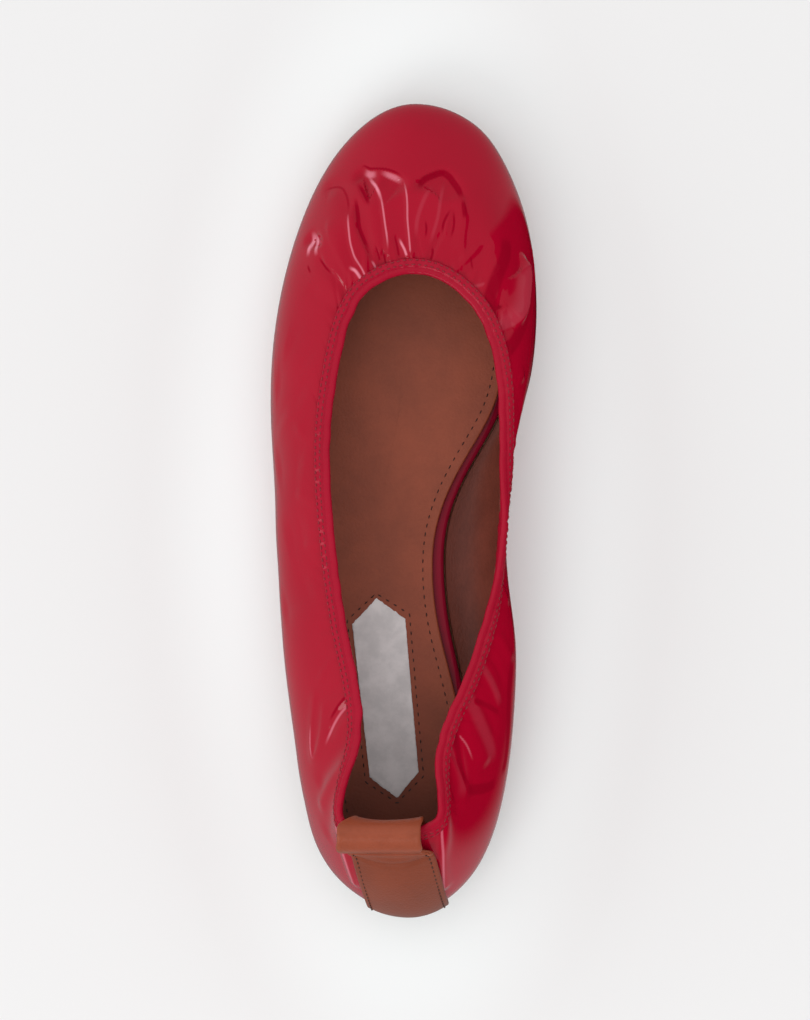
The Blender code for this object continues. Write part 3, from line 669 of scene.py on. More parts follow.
def pucker_relief(rings, down, pitch, height, seed):
    """Height of the short puckers that the elastic pulls into the wall below the stitching."""
    random = np.random.default_rng(seed)
    arc, whole = arc_of(rings[-1])
    strength = read(PUCKERS, "strength", DEGREES)
    reach = read(PUCKERS, "reach", DEGREES) * MM
    relief = np.zeros(down.shape)
    rows = down.min(axis=1) < DEEPEST_PUCKER
    place = 0.0
    while place < whole - pitch / 2:
        column = np.searchsorted(arc, place) % AROUND
        size = height * strength[column] * (0.45 + 0.9 * random.random())
        width = pitch * (0.22 + 0.16 * random.random())
        length = reach[column] * (0.5 + 1.1 * random.random())
        drift = random.normal() * 0.25
        offset = (arc[None, :] - place + whole / 2) % whole - whole / 2
        across = ((offset - drift * down[rows]) / (width * (1 + down[rows] / (4 * length)))) ** 2
        fade = np.exp(-down[rows] / length) * ease(down[rows] / (1.5 * MM))
        relief[rows] -= size * (1 - 0.5 * across) * np.exp(-across) * fade
        place += pitch * (0.65 + 0.7 * random.random())
    return relief


def puff_relief(down, height):
    """The soft rise of the gathered vamp between its stitching and the smooth toe."""
    inside = smooth_curve(PUFF_TURNS, DEGREES)
    return height * inside * bell(down - PUFF_DOWN, PUFF_REACH)


def swell_relief(rings, down, count, height, seed):
    """Broad shallow unevenness of leather that no last holds, little at the toe."""
    random = np.random.default_rng(seed)
    relief = np.zeros(down.shape)
    for _ in range(count):
        row, column = random.integers(FIRST_SWELL_RING, len(rings)), random.integers(AROUND)
        spread = (5 + 6 * random.random()) * MM
        size = height * random.normal() * (1 - 0.85 * ease((SHARES[column] - TOE_BEGINS) / 0.12))
        relief += size * bell(np.linalg.norm(rings - rings[row, column], axis=2), spread)
    return relief * ease(down / (3 * MM))


# Node trees written as expressions


class Wire:
    """An output socket. Arithmetic on it adds Math nodes to its tree."""

    def __init__(self, tree, socket):
        self.tree, self.socket = tree, socket

    def maths(self, operation, *values):
        return self.tree.node("ShaderNodeMath", dict(enumerate(values)), operation=operation)

    def __add__(self, other):
        return self.maths("ADD", self, other)

    def __sub__(self, other):
        return self.maths("SUBTRACT", self, other)

    def __rsub__(self, other):
        return self.maths("SUBTRACT", other, self)

    def __mul__(self, other):
        return self.maths("MULTIPLY", self, other)

    def __truediv__(self, other):
        return self.maths("DIVIDE", self, other)

    def __pow__(self, other):
        return self.maths("POWER", self, other)

    __radd__ = __add__
    __rmul__ = __mul__

    def clipped(self, low, high):
        """Where the value climbs from low to high, a smooth step from 0 to 1."""
        inputs = {"Value": self, "From Min": low, "From Max": high}
        return self.tree.node("ShaderNodeMapRange", inputs, interpolation_type="SMOOTHSTEP")


class Tree:
    """A node tree whose nodes all come from one method."""

    def __init__(self, nodes):
        self.nodes = nodes

    def node(self, kind, inputs=None, output=0, **settings):
        """A new node with its inputs joined or set, as the wire of one of its outputs."""
        made = self.nodes.nodes.new(kind)
        for name, value in settings.items():
            setattr(made, name, value)
        for key, value in (inputs or {}).items():
            if isinstance(value, Wire):
                self.nodes.links.new(value.socket, made.inputs[key])
            else:
                made.inputs[key].default_value = value
        return Wire(self, made.outputs[output])

    def mix(self, factor, first, second):
        """Colour between two colours."""
        colours = [c if isinstance(c, Wire) else (*c, 1) for c in (first, second)]
        inputs = {0: factor, 6: colours[0], 7: colours[1]}
        return self.node("ShaderNodeMix", inputs, 2, data_type="RGBA")

    def place(self):
        return self.node("ShaderNodeTexCoord", output="Object")

    def noise(self, size, detail=2.0, roughness=0.5):
        """Noise from 0 to 1 whose lumps are about size metres across."""
        inputs = {"Vector": self.place(), "Scale": 1 / size, "Detail": detail, "Roughness": roughness}
        return self.node("ShaderNodeTexNoise", inputs)

    def pores(self, size):
        return self.node("ShaderNodeTexVoronoi", {"Vector": self.place(), "Scale": 1 / size})

    def axis(self, name):
        """One coordinate of the surface in metres."""
        return self.node("ShaderNodeSeparateXYZ", {0: self.place()}, name)


class Finish(Tree):
    """A material with one principled shader."""

    def __init__(self, name, **constants):
        self.material = bpy.data.materials.new(name)
        self.material.use_nodes = True
        super().__init__(self.material.node_tree)
        self.shader = self.nodes.nodes["Principled BSDF"]
        for key, value in constants.items():
            self.set(key.replace("_", " "), value)

    def set(self, socket, value):
        if isinstance(value, Wire):
            self.nodes.links.new(value.socket, self.shader.inputs[socket])
        else:
            self.shader.inputs[socket].default_value = (*value, 1) if isinstance(value, tuple) else value

    def bump(self, height, distance):
        """Relief from a height of 0 to 1 that stands for distance metres."""
        inputs = {"Height": height, "Distance": distance, "Strength": 1.0}
        self.set("Normal", self.node("ShaderNodeBump", inputs))


def darker(colour, share):
    return tuple(share * part for part in colour)


def patent_finish(name, colour, gloss=0.03, lacquer=1.0, highlight_colour=None):
    """Lacquered leather: deep even colour under a hard gloss with a faint ripple. worn is the pale colour
    that its rubbed creases take. Where the attribute wear is below 0 the gloss has gone."""
    finish = Finish(name, Roughness=0.35, Coat_Weight=lacquer, Coat_Roughness=gloss)
    finish.set("Specular IOR Level", 0.0)
    cloud = finish.noise(0.030, 2.0)
    skin = finish.mix(cloud.clipped(0.25, 0.75), darker(colour, 0.93), colour)
    if highlight_colour:
        # Painted highlights where the creases' attribute is above 0, painted dark reflections where it is
        # below 0
        painted_reflection = finish.node("ShaderNodeAttribute", output="Fac", attribute_name="painted_reflection")
        painted_dark = (0.0 - painted_reflection).clipped(0.0, 0.8)
        skin = finish.mix(painted_reflection.maths("MAXIMUM", painted_reflection, 0.0), skin, highlight_colour)
        skin = finish.mix(painted_dark, skin, darker(colour, 0.72))
        finish.set("Coat Weight", 1.0 - painted_dark * 0.9)
    finish.set("Base Color", skin)
    ripple = finish.noise(0.0045, 1.0) * 0.8 + finish.noise(0.0011, 1.0) * 0.08
    finish.bump(ripple, 0.00006)
    return finish.material


def grain_leather(name, colour, roughness, grain=0.0011, depth=0.00008, mottle=0.35, shade_and_dark_tone=None):
    """Smooth leather: clouded colour, fine pores and a pebble of the given grain. shade says where it is
    darker."""
    finish = Finish(name, IOR=1.4)
    cloud = finish.noise(0.014, 4.0, 0.6)
    fine = finish.noise(0.0012, 3.0, 0.6)
    tone = (cloud * 0.75 + fine * 0.25).clipped(0.25, 0.72)
    skin = finish.mix(tone, darker(colour, 1 - mottle), colour)
    if shade_and_dark_tone:
        skin = finish.mix(shade_and_dark_tone(finish), skin, darker(colour, 0.45))
    finish.set("Base Color", skin)
    finish.set("Roughness", cloud * 0.16 + (roughness - 0.08))
    pebble = finish.pores(grain).clipped(0.0, 0.75)
    finish.bump(pebble * 0.6 + fine * 0.8, depth)
    return finish.material


def thread_finish(name, colour):
    """Sewing thread: twisted strands seen as fine slanting ridges."""
    finish = Finish(name, Roughness=0.62)
    strand = finish.noise(0.00035, 1.0)
    finish.set("Base Color", finish.mix(strand, darker(colour, 0.55), colour))
    finish.bump(strand, 0.00008)
    return finish.material


# Making meshes


def grid_faces(rows, columns, closed=False):
    """Faces between rings of points. closed also joins the last ring to the first."""
    lower = np.arange(rows if closed else rows - 1)[:, None] * columns
    higher = (lower + columns) % (rows * columns)
    i = np.arange(columns)[None, :]
    after = (i + 1) % columns
    return np.stack((lower + i, lower + after, higher + after, higher + i), axis=2).reshape(-1, 4)


def make_piece(name, points, faces, material, slot, *nodes, weld=0.0, sharp=None, normals=None):
    """A closed piece that faces outwards, riding on the part and standing for CAD nodes. normals shade its
    points where it meets another piece without a seam."""
    mesh = bpy.data.meshes.new(name)
    mesh.from_pydata(np.asarray(points).reshape(-1, 3).tolist(), [], [list(face) for face in faces])
    bm = bmesh.new()
    bm.from_mesh(mesh)
    if weld:
        bmesh.ops.remove_doubles(bm, verts=bm.verts, dist=weld)
        bmesh.ops.dissolve_degenerate(bm, dist=weld / 10, edges=bm.edges)
    bmesh.ops.recalc_face_normals(bm, faces=bm.faces)
    if bm.calc_volume(signed=True) < 0:
        bmesh.ops.reverse_faces(bm, faces=bm.faces)
    bm.to_mesh(mesh)
    bm.free()
    mesh.shade_smooth()
    if sharp:
        mesh.set_sharp_from_angle(angle=math.radians(sharp))
    if normals is not None:
        mesh.normals_split_custom_set_from_vertices(normals.reshape(-1, 3).tolist())
    mesh.materials.append(material)
    made = bpy.data.objects.new(name, mesh)
    bpy.context.scene.collection.objects.link(made)
    return settle(made, slot, *nodes)


def settle(made, slot, *nodes):
    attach(made, "root")
    if nodes:
        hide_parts(*nodes)
    return made


def ring_at(plan, height, lift=0.0):
    """A plan outline at the height that a profile function gives."""
    return np.column_stack((plan, height(plan[:, 1]) + lift))


def cap_rings(plan, height, lift, shares, crown=None):
    """Rings that close a slab: the outline drawn in along X to its middle line."""
    mirrored = np.roll(plan[::-1, 0], 1)
    middle = (plan[:, 0] + mirrored) / 2
    rings = []
    for share in shares:
        x = middle + (plan[:, 0] - middle) * share
        z = height(plan[:, 1]) + lift
        if crown:
            z = z + crown(share, plan[:, 1])
        rings.append(np.column_stack((x, plan[:, 1], z)))
    return rings


# Shares of the way out from the middle at which the flat faces of a slab and of the label have rings
SPREAD = (1.0, 0.97, 0.93, 0.87, 0.78, 0.66, 0.5, 0.33, 0.16, 0.0)
LABEL_SPREAD = (1.0, 0.99, 0.96, 0.9, 0.8, 0.65, 0.45, 0.25, 0.1, 0.0)
WELD = 1e-6


def make_slab(node, edges, top, bottom, material, slot, crown=None):
    """A sheet under the foot. edges are (plan, height, lift) rings from its lower to its upper edge."""
    rings = cap_rings(*bottom, reversed(SPREAD[1:]))
    rings += [ring_at(*edge) for edge in edges]
    rings += cap_rings(*top, SPREAD[1:], crown)
    grid = np.array(rings)[:, ::SLAB_STEP]
    faces = grid_faces(len(grid), grid.shape[1])
    return make_piece(node, grid, faces, material, slot, node, weld=WELD)


def edge_rings(plan, low, high, radius, gap=0.0):
    """Rings of a rounded edge from a lower face, a gap above its height, to an upper face."""
    lower, upper = [], []
    for i in range(EDGE_STEPS + 1):
        angle = math.pi / 2 * i / EDGE_STEPS
        short, tall = radius * (1 - math.sin(angle)), radius * (1 - math.cos(angle))
        lower.append((moved_out(plan, -short), low, gap + tall))
        upper.append((moved_out(plan, -tall), high, -short))
    return lower + upper


CACHE = {}  # the wall's form, kept from one piece to the next


def upper_settings():
    return bpy.context.scene.flat_upper


def trim_settings():
    return bpy.context.scene.flat_trims


def wall_form():
    """Rings, normals, depths and relief of the patent leather, the same for all the pieces that follow it."""
    if "form" not in CACHE:
        settings = upper_settings()
        rises = wall_rises()
        rings = upper_rings(rises)
        normals, _ = upper_frames(rises)
        down = run_down(rings)
        side_folds = BALL_FOLDS + SIDE_FOLDS + HEEL_FOLDS
        relief = fold_relief(rings, normals, down, VAMP_FOLDS, settings.gather_depth)
        relief += fold_relief(rings, normals, down, side_folds, settings.crease_depth)
        relief += puff_relief(down, settings.puff_height)
        relief += pucker_relief(rings, down, settings.pucker_pitch, settings.pucker_height, 5)
        relief += swell_relief(rings, down, SWELL_COUNT, settings.swell_height, 11)
        relief *= ease(np.array(rises) / 0.5)[:, None]
        CACHE["form"] = rings, normals, down, relief
        # Painted highlights and painted dark reflections along the creases, laid out as the folds are
        CACHE["painted_reflection"] = fold_relief(rings, normals, down, PAINTED_REFLECTIONS, settings.painted_reflection_strength / MM, 4)
    return CACHE["form"]


def wall_shell(outer, inner):
    """Rings of a closed shell between two faces of the wall. A face is (rows of rings, relief, depth)."""
    rings, normals, _, _ = wall_form()
    outside, inside = (
        rings[rows] + normals[rows] * (relief[rows] - depth)[..., None]
        for rows, relief, depth in (outer, inner)
    )
    return np.concatenate((outside, inside[::-1]))


def hidden_rows():
    """The few rings that are enough for a face that nothing shows."""
    return np.unique(np.linspace(0, LOWER_RINGS + UPPER_RINGS - 1, HIDDEN_RINGS).astype(int))


def shell_normals(shell):
    """Outward normals of a closed shell at its points."""
    climb = np.roll(shell, -1, axis=0) - np.roll(shell, 1, axis=0)
    way = np.roll(shell, -1, axis=1) - np.roll(shell, 1, axis=1)
    return unit(np.cross(climb, way))


def build_upper():
    """The patent leather as two pieces, the vamp and the quarters, that meet at the waist without a seam."""
    settings = upper_settings()
    CACHE.clear()
    relief = wall_form()[-1]
    everywhere = np.arange(LOWER_RINGS + UPPER_RINGS)
    inner = (hidden_rows(), relief * 0.0, settings.leather_thickness)
    shell = wall_shell((everywhere, relief, 0.0), inner)
    normals = shell_normals(shell)
    # Painted highlights and painted dark reflections on the outer face, carried to the shader as an attribute
    painted_reflection = np.zeros(shell.shape[:2])
    painted_reflection[: len(everywhere)] = CACHE["painted_reflection"]
    highlight_colour = tuple(settings.painted_highlight_colour)
    material = patent_finish("patent_leather", tuple(settings.patent_colour), highlight_colour=highlight_colour)
    rows = len(shell)
    for name, first in (("upper", AROUND // 4), ("upper_quarters", AROUND // 4 + HALF)):
        columns = np.arange(first, first + HALF + 1) % AROUND
        corners = np.arange(rows)[:, None] * (HALF + 1) + np.arange(HALF)
        above = np.roll(corners, -1, axis=0)
        faces = np.stack((corners, corners + 1, above + 1, above), axis=2).reshape(-1, 4).tolist()
        faces += [(np.arange(rows) * (HALF + 1) + end).tolist() for end in (0, HALF)]
        made = make_piece(
            name, shell[:, columns], faces, material, "patent", "upper", normals=normals[:, columns]
        )
        mark = made.data.attributes.new("painted_reflection", "FLOAT", "POINT")
        mark.data.foreach_set("value", painted_reflection[:, columns].ravel().astype(np.float32))


LINING_GAP = 0.0004


def lining_shade(finish):
    """Dark suede of the lining in the heel."""
    return (0.0 - finish.axis("Y")).clipped(0.055, 0.080) * 0.8


def build_lining():
    """The tan lining inside the patent leather, with the folds of the free waist."""
    settings = upper_settings()
    rings, normals, down, relief = wall_form()
    folds = fold_relief(rings, normals, down, LINING_FOLDS)
    every_other = np.arange(0, LOWER_RINGS + UPPER_RINGS, 2)
    hidden = (hidden_rows(), relief * 0.0, settings.leather_thickness + LINING_GAP)
    shell = wall_shell(hidden, (every_other, folds, UPPER_WALL))[:, ::2]
    faces = grid_faces(len(shell), shell.shape[1], closed=True)
    material = grain_leather("lining_leather", tuple(settings.lining_colour), 0.55, shade_and_dark_tone=lining_shade)
    return make_piece("lining", shell, faces, material, "tan_leather")


def topline_form():
    """Middle of the wall's top edge, with its outward and upward ways."""
    rings = wall_form()[0]
    normal, climb = (ways[0] for ways in upper_frames(np.array([2.0])))
    return rings[-1] - normal * UPPER_WALL / 2, normal, climb


# Section of the binding in millimetres, outwards from the wall's middle and up from its edge
BINDING_OUTSIDE = (
    (1.18, -1.75), (1.42, -1.60), (1.52, -1.30), (1.44, -0.80), (1.52, -0.20), (1.46, 0.35), (1.30, 0.78),
    (1.00, 1.00), (1.06, 1.30), (1.04, 1.8), (0.90, 2.3), (0.64, 2.68), (0.30, 2.90), (-0.08, 2.92),
    (-0.46, 2.76), (-0.80, 2.42), (-1.02, 1.9), (-1.12, 1.3), (-1.16, 0.6), (-1.18, -0.2), (-1.18, -1.0),
    (-1.12, -1.5),
)
BINDING_INSIDE = (
    (-1.02, -1.4), (-1.0, -0.6), (-0.98, 0.1), (-0.5, 0.25), (0.5, 0.25), (0.98, 0.1), (1.02, -0.9),
    (1.04, -1.5),
)
# Where the elastic ruffles the roll, at turns in degrees
RUFFLES = (
    (0, 0.2), (25, 1), (50, 0.8), (70, 0.1), (180, 0.0), (290, 0.1), (315, 0.8), (335, 1), (360, 0.2),
)
SLOW_PITCH = 0.011  # metres from one broad wave of the roll to the next
PINCH = 0.20  # millimetres that the stitching pinches the casing
STITCH_ROWS = ((0.20, 1.48), (-1.20, 1.50))  # up and outwards, in millimetres


def binding_wobble(seed, pitch):
    """Uneven waves round the topline, from -1 to 1."""
    random = np.random.default_rng(seed)
    middle, _, _ = topline_form()
    arc, whole = arc_of(middle)
    waves = np.zeros(AROUND)
    base = whole / pitch
    for _ in range(14):
        count = max(2, round(base * (1 + 0.3 * random.normal())))
        size = math.cos(random.random() * 6)
        waves += size * np.sin(2 * math.pi * count * arc / whole + random.random() * 6)
    return waves / np.abs(waves).max()


def build_binding():
    """The leather casing of the elastic, rolled over the topline and puckered by its stitching."""
    settings = upper_settings()
    middle, normal, climb = topline_form()
    fine = binding_wobble(3, settings.pucker_pitch)
    slow = binding_wobble(4, SLOW_PITCH)
    ruffle = smooth_curve(RUFFLES, DEGREES)
    rings = []
    for section, pinched in ((BINDING_OUTSIDE, 1.0), (BINDING_INSIDE, 0.0)):
        for out, up in section:
            stitched = 1 - ease((up - 0.3) / 1.2)
            far = out + np.sign(out) * fine * (PINCH * stitched + 0.05) * pinched
            rise = slow * 0.20 + (fine * 0.10 + slow * 0.35) * ruffle * ease(up / 2.0)
            high = up + rise * ease((up + 1.5) / 2)
            rings.append(middle + (normal * far[:, None] + climb * high[:, None]) * MM)
    grid = np.array(rings)
    faces = grid_faces(len(grid), AROUND, closed=True)
    material = patent_finish("casing_leather", tuple(settings.casing_colour), 0.20, 0.5)
    return make_piece("topline_binding", grid, faces, material, "patent", "topline_binding")


RIM_RADIUS = 0.0012


def build_footbed():
    """The footbed. Its rounded edge is wrapped in patent leather."""
    edges = edge_rings(moved_out(FEATHER, -SEAT_GAP), sole_top, footbed_top, RIM_RADIUS, SEAT_GAP)
    inner = moved_out(FEATHER, -SEAT_GAP - RIM_RADIUS)
    material = patent_finish("rim_leather", tuple(trim_settings().rim_colour))
    top, bottom = (inner, footbed_top, 0.0), (inner, sole_top, SEAT_GAP)
    return make_slab("footbed", edges, top, bottom, material, "patent")


INSOLE_RADIUS = 0.0006
INSOLE_CURL = 0.0005
WAIST_INSET = 0.0012  # how much more of the rim shows in the medial waist
INSOLE_SEAM = 0.0030  # from the insole's edge to its stitches


def insole_plan(inset=0.0):
    """Outline of the insole, drawn in a little more in the medial waist, where the rim shows."""
    plan = moved_out(FEATHER, -SEAT_GAP - RIM_WIDTH - inset)
    waist = np.where(MEDIAL, bell(SHARES - 0.40, 0.13), 0.0)
    return plan - np.column_stack((waist * WAIST_INSET, waist * 0.0))


def insole_crown(share, y):
    """The insole's edge curls up and its middle is worn in a little."""
    return INSOLE_CURL * share**4 - 0.0003 * (1 - share**2)


def insole_shade(finish):
    """Darker leather at the toe and the heel, where the insole lies deep in the shoe."""
    y = finish.axis("Y")
    return y.clipped(0.035, 0.115) * 0.55 + (0.0 - y).clipped(0.072, 0.108) * 0.85


def build_insole():
    """The insole, its edge curled up a little inside the rim."""
    inner = insole_plan(INSOLE_RADIUS)
    rim = lambda y: insole_top(y) + INSOLE_CURL
    edges = edge_rings(insole_plan(), footbed_top, rim, INSOLE_RADIUS, SEAT_GAP)
    colour = tuple(trim_settings().insole_colour)
    material = grain_leather("insole_leather", colour, 0.50, 0.0009, 0.00006, 0.22, insole_shade)
    top, bottom = (inner, insole_top, 0.0), (inner, footbed_top, SEAT_GAP)
    return make_slab("insole", edges, top, bottom, material, "insole_leather", insole_crown)


def sides_at(plan, y):
    """Lateral and medial edge of an outline at distances along the shoe."""
    lateral, medial = plan[: HALF + 1], np.roll(plan[::-1], 1, axis=0)[: HALF + 1]
    return (np.interp(y, side[:, 1], side[:, 0]) for side in (lateral, medial))


def insole_height(x, y):
    """Height of the insole's top, crown included."""
    lateral, medial = sides_at(insole_plan(INSOLE_RADIUS), y)
    middle, breadth = (lateral + medial) / 2, np.maximum((medial - lateral) / 2, 1e-4)
    share = np.clip(np.abs(x - middle) / breadth, 0, 1)
    return insole_top(y) + insole_crown(share, y)


LABEL_STEP = 0.0007
LABEL_THICKNESS = 0.00035
LABEL_SEAM = 0.0014  # from the label's edge out to its stitches


def on_insole(line):
    """A plan line laid on the insole."""
    return np.column_stack((line, insole_height(line[:, 0], line[:, 1])))


def label_outline(margin):
    """Outline of the label moved out by a margin, with its two pointed ends."""
    along = np.array((-math.sin(LABEL_TILT), math.cos(LABEL_TILT)))
    across = np.array((along[1], -along[0]))
    y = HEEL_Y + LABEL_FROM_HEEL
    lateral, medial = sides_at(FEATHER, y)
    centre = np.array(((lateral + medial) / 2 - LABEL_ASIDE, y))
    length = LABEL_LENGTH + 2 * margin
    heel_half, toe_half = LABEL_HEEL_WIDTH / 2 + margin, LABEL_WIDTH / 2 + margin
    shoulder = length / 2 - LABEL_POINT
    corners = [
        (-length / 2, 0), (-shoulder, -heel_half), (shoulder, -toe_half),
        (length / 2, 0), (shoulder, toe_half), (-shoulder, heel_half),
    ]
    points = [centre + along * a + across * b for a, b in corners]
    line = []
    for a, b in zip(points, points[1:] + points[:1]):
        steps = max(2, round(np.linalg.norm(b - a) / LABEL_STEP))
        line += [a + (b - a) * i / steps for i in range(steps)]
    return np.array(line)


def build_label():
    """The long label of the insole: thin, slightly crumpled, its edge a little frayed. Its face is bare."""
    random = np.random.default_rng(8)
    line = label_outline(0.0)
    centre = line.mean(axis=0)
    rough = 1 + random.normal(size=len(line)) * 0.004
    line = centre + (line - centre) * rough[:, None]
    rings = []
    for share in reversed(LABEL_SPREAD):
        rings.append(on_insole(centre + (line - centre) * share) + (0, 0, 0.00002))
    for share in LABEL_SPREAD:
        ring = on_insole(centre + (line - centre) * share)
        wave = 0.00010 * np.sin(ring[:, 1] * 260 + ring[:, 0] * 90) + 0.00006 * np.sin(ring[:, 1] * 700)
        ring[:, 2] += LABEL_THICKNESS + wave * (share < 0.97) - (0.0001 if share == 1.0 else 0)
        rings.append(ring)
    grid = np.array(rings)
    finish = Finish("label_finish", IOR=1.5)
    smudge = finish.noise(0.006, 4.0, 0.6)
    silver = tuple(trim_settings().label_colour)
    finish.set("Base Color", finish.mix(smudge.clipped(0.3, 0.7), darker(silver, 0.82), silver))
    finish.set("Roughness", smudge * 0.2 + 0.28)
    finish.bump(finish.noise(0.0009, 3.0), 0.00005)
    faces, name = grid_faces(len(grid), grid.shape[1]), "insole_label"
    return make_piece(name, grid, faces, finish.material, "label", name, weld=WELD, sharp=50)


SOLE_RADIUS = 0.0008
# Inset and height of the heel lift's rings up its rounded lower edge
LIFT_RINGS = ((0.0016, 0.0), (0.0008, 0.00012), (0.0003, 0.0004), (0.0, 0.0009), (0.0, None), (0.0004, None))


def build_outsole():
    """The outsole with its rounded edge."""
    inner = moved_out(FEATHER, SOLE_MARGIN - SOLE_RADIUS)
    edges = edge_rings(moved_out(FEATHER, SOLE_MARGIN), sole_bottom, sole_top, SOLE_RADIUS)
    colour = tuple(trim_settings().sole_colour)
    material = grain_leather("sole_leather", colour, 0.55, 0.0016, 0.00007, 0.3)
    top, bottom = (inner, sole_top, 0.0), (inner, sole_bottom, 0.0)
    return make_slab("outsole", edges, top, bottom, material, "sole_leather")


def end_faces(row, columns):
    """Faces that close a row of points that runs out along one side and back along the other."""
    first, last, half = row * columns, (row + 1) * columns - 1, columns // 2
    faces = [[first + i, first + i + 1, last - i - 1, last - i] for i in range(half - 1)]
    if columns % 2:
        faces.append([first + half - 1, first + half, first + half + 1])
    return faces


def build_heel_lift():
    """The heel lift under the seat, with a straight breast and a soft edge."""
    last = math.acos(1 - 2 * HEEL_BREAST)
    keep = np.concatenate((np.nonzero(TURNS >= 2 * math.pi - last)[0], np.nonzero(TURNS <= last)[0]))
    outset = SOLE_MARGIN - HEEL_LIFT_INSET
    rings = []
    for inset, height in LIFT_RINGS:
        plan = moved_out(FEATHER, outset - inset)[keep]
        top = sole_bottom(plan[:, 1]) - SEAT_GAP
        z = np.full(len(plan), height) if height is not None else top
        rings.append(np.column_stack((plan, z)))
    grid = np.array(rings)
    columns = grid.shape[1]
    faces = grid_faces(len(grid), columns).tolist()
    faces += end_faces(0, columns) + end_faces(len(grid) - 1, columns)
    finish = Finish("heel_rubber", IOR=1.5)
    dust = finish.noise(0.004, 5.0, 0.65)
    colour = tuple(trim_settings().heel_colour)
    finish.set("Base Color", finish.mix(dust.clipped(0.35, 0.8), colour, darker(colour, 1.8)))
    finish.set("Roughness", dust * 0.25 + 0.5)
    finish.bump(finish.noise(0.0007, 3.0), 0.00006)
    return make_piece("heel_lift", grid, faces, finish.material, "heel_rubber", "heel_lift", sharp=40)


# The back strip


def heel_rises():
    """Distances below the topline up the back of the heel, and their rises."""
    rises = np.linspace(0, 2, 400)
    points = upper_rings(rises)[:, 0]
    steps = np.linalg.norm(np.diff(points, axis=0), axis=1)
    below = np.concatenate((np.cumsum(steps[::-1])[::-1], [0.0]))
    return below[::-1], rises[::-1], points[::-1]


def heel_rows(rise, asides):
    """Middle of the wall, outward normals and upward ways at distances across the back of the heel."""
    reach = AROUND // 6
    order = np.concatenate((np.arange(-reach, 0), np.arange(0, reach + 1)))
    ring = upper_ring(rise)
    normal, climb = (x[0] for x in upper_frames(np.array([rise])))
    line = ring[order]
    arc = np.concatenate(([0.0], np.cumsum(np.linalg.norm(np.diff(line, axis=0), axis=1))))
    arc = -(arc - arc[reach])
    rows = []
    for values in (ring - normal * UPPER_WALL / 2, normal, climb):
        picked = values[order][::-1]
        rows.append(np.column_stack([np.interp(asides, arc[::-1], picked[:, axis]) for axis in range(3)]))
    return rows


def strip_path():
    """Middle line of the strip: distances above the topline and offsets outwards from the wall's middle."""
    below, _, points = heel_rises()
    foot_z = sole_top(FEATHER[:1, 1])[0] + STRIP_FOOT_RISE
    foot = below[np.nonzero(points[:, 2] < foot_z)[0][0]]
    hug = (UPPER_WALL + STRIP_THICKNESS) / 2 + SEAT_GAP
    puff = (LOOP_DEPTH - STRIP_THICKNESS) / 2

    def offset(distance):
        return hug + (puff - hug) * ease(1 + distance / LOOP_RISE)

    outside = np.linspace(-foot, 0, 70, endpoint=False)
    arc = np.linspace(0, math.pi, 40)
    inside = -np.linspace(0, STRIP_TAIL, 16)[1:]
    distances = np.concatenate((outside, LOOP_RISE * np.sin(arc), inside))
    offsets = np.concatenate((offset(outside), puff * np.cos(arc), -offset(inside)))
    return distances, offsets


def strip_half_section(columns=26, edge=0.00045):
    """Shares across the strip and shares of its half thickness, rounded towards both edges."""
    shares = np.concatenate((
        np.array((0.0, 0.006, 0.018, 0.04, 0.07)),
        np.linspace(0.11, 0.89, columns),
        np.array((0.93, 0.96, 0.982, 0.994, 1.0)),
    ))
    distance = np.minimum(shares, 1 - shares) * STRIP_WIDTH
    thick = np.sqrt(np.clip(1 - (1 - np.clip(distance / edge, 0, 1)) ** 2, 0.04, 1))
    groove = -0.10 * bell(distance - STRIP_SEAM, 0.00035)
    return shares - 0.5, thick, groove


def strip_rows(distances, offsets, sides):
    """Rows of points along the strip. sides is a list of (shares across, thickness outwards in metres)."""
    below, rises, _ = heel_rises()
    clear = SEAT_GAP + BINDING_DIAMETER
    path = np.column_stack((distances, offsets))
    ways = unit(np.gradient(path, axis=0))
    shares, raised = (np.concatenate([side[i] for side in sides]) for i in (0, 1))
    backwards = np.array((0, -math.cos(LOOP_LEAN), math.sin(LOOP_LEAN)))
    upwards = np.array((0, math.sin(LOOP_LEAN), math.cos(LOOP_LEAN)))
    rows = []
    for (distance, offset), way in zip(path, ways):
        rise = np.interp(max(-distance, 0.0), below, rises)
        width = STRIP_WIDTH
        if offset > 0:
            flatness = ease(1 + distance / STRIP_FLATTENS)
            skew = LOOP_SKEW * ease(1 + distance / LOOP_STEP)
        else:
            flatness = ease((distance - clear / 2) / (LOOP_RISE - clear / 2))
            skew = LOOP_SKEW * ease(distance / LOOP_RISE)
            width += (STRIP_TAIL_WIDTH - STRIP_WIDTH) * ease(-distance / STRIP_TAIL)
        asides = width * shares
        middle, normal, climb = heel_rows(rise, np.append(asides, 0.0))
        out = offset + raised * way[0]
        up = max(distance, 0.0) - raised * way[1]
        curved = middle[:-1] + normal[:-1] * out[:, None] + climb[:-1] * up[:, None]
        flat = middle[-1] + out[:, None] * backwards + up[:, None] * upwards
        flat = flat + np.column_stack((asides - skew, np.zeros(len(asides)), np.zeros(len(asides))))
        rows.append(curved * (1 - flatness) + flat * flatness)
    return np.array(rows)


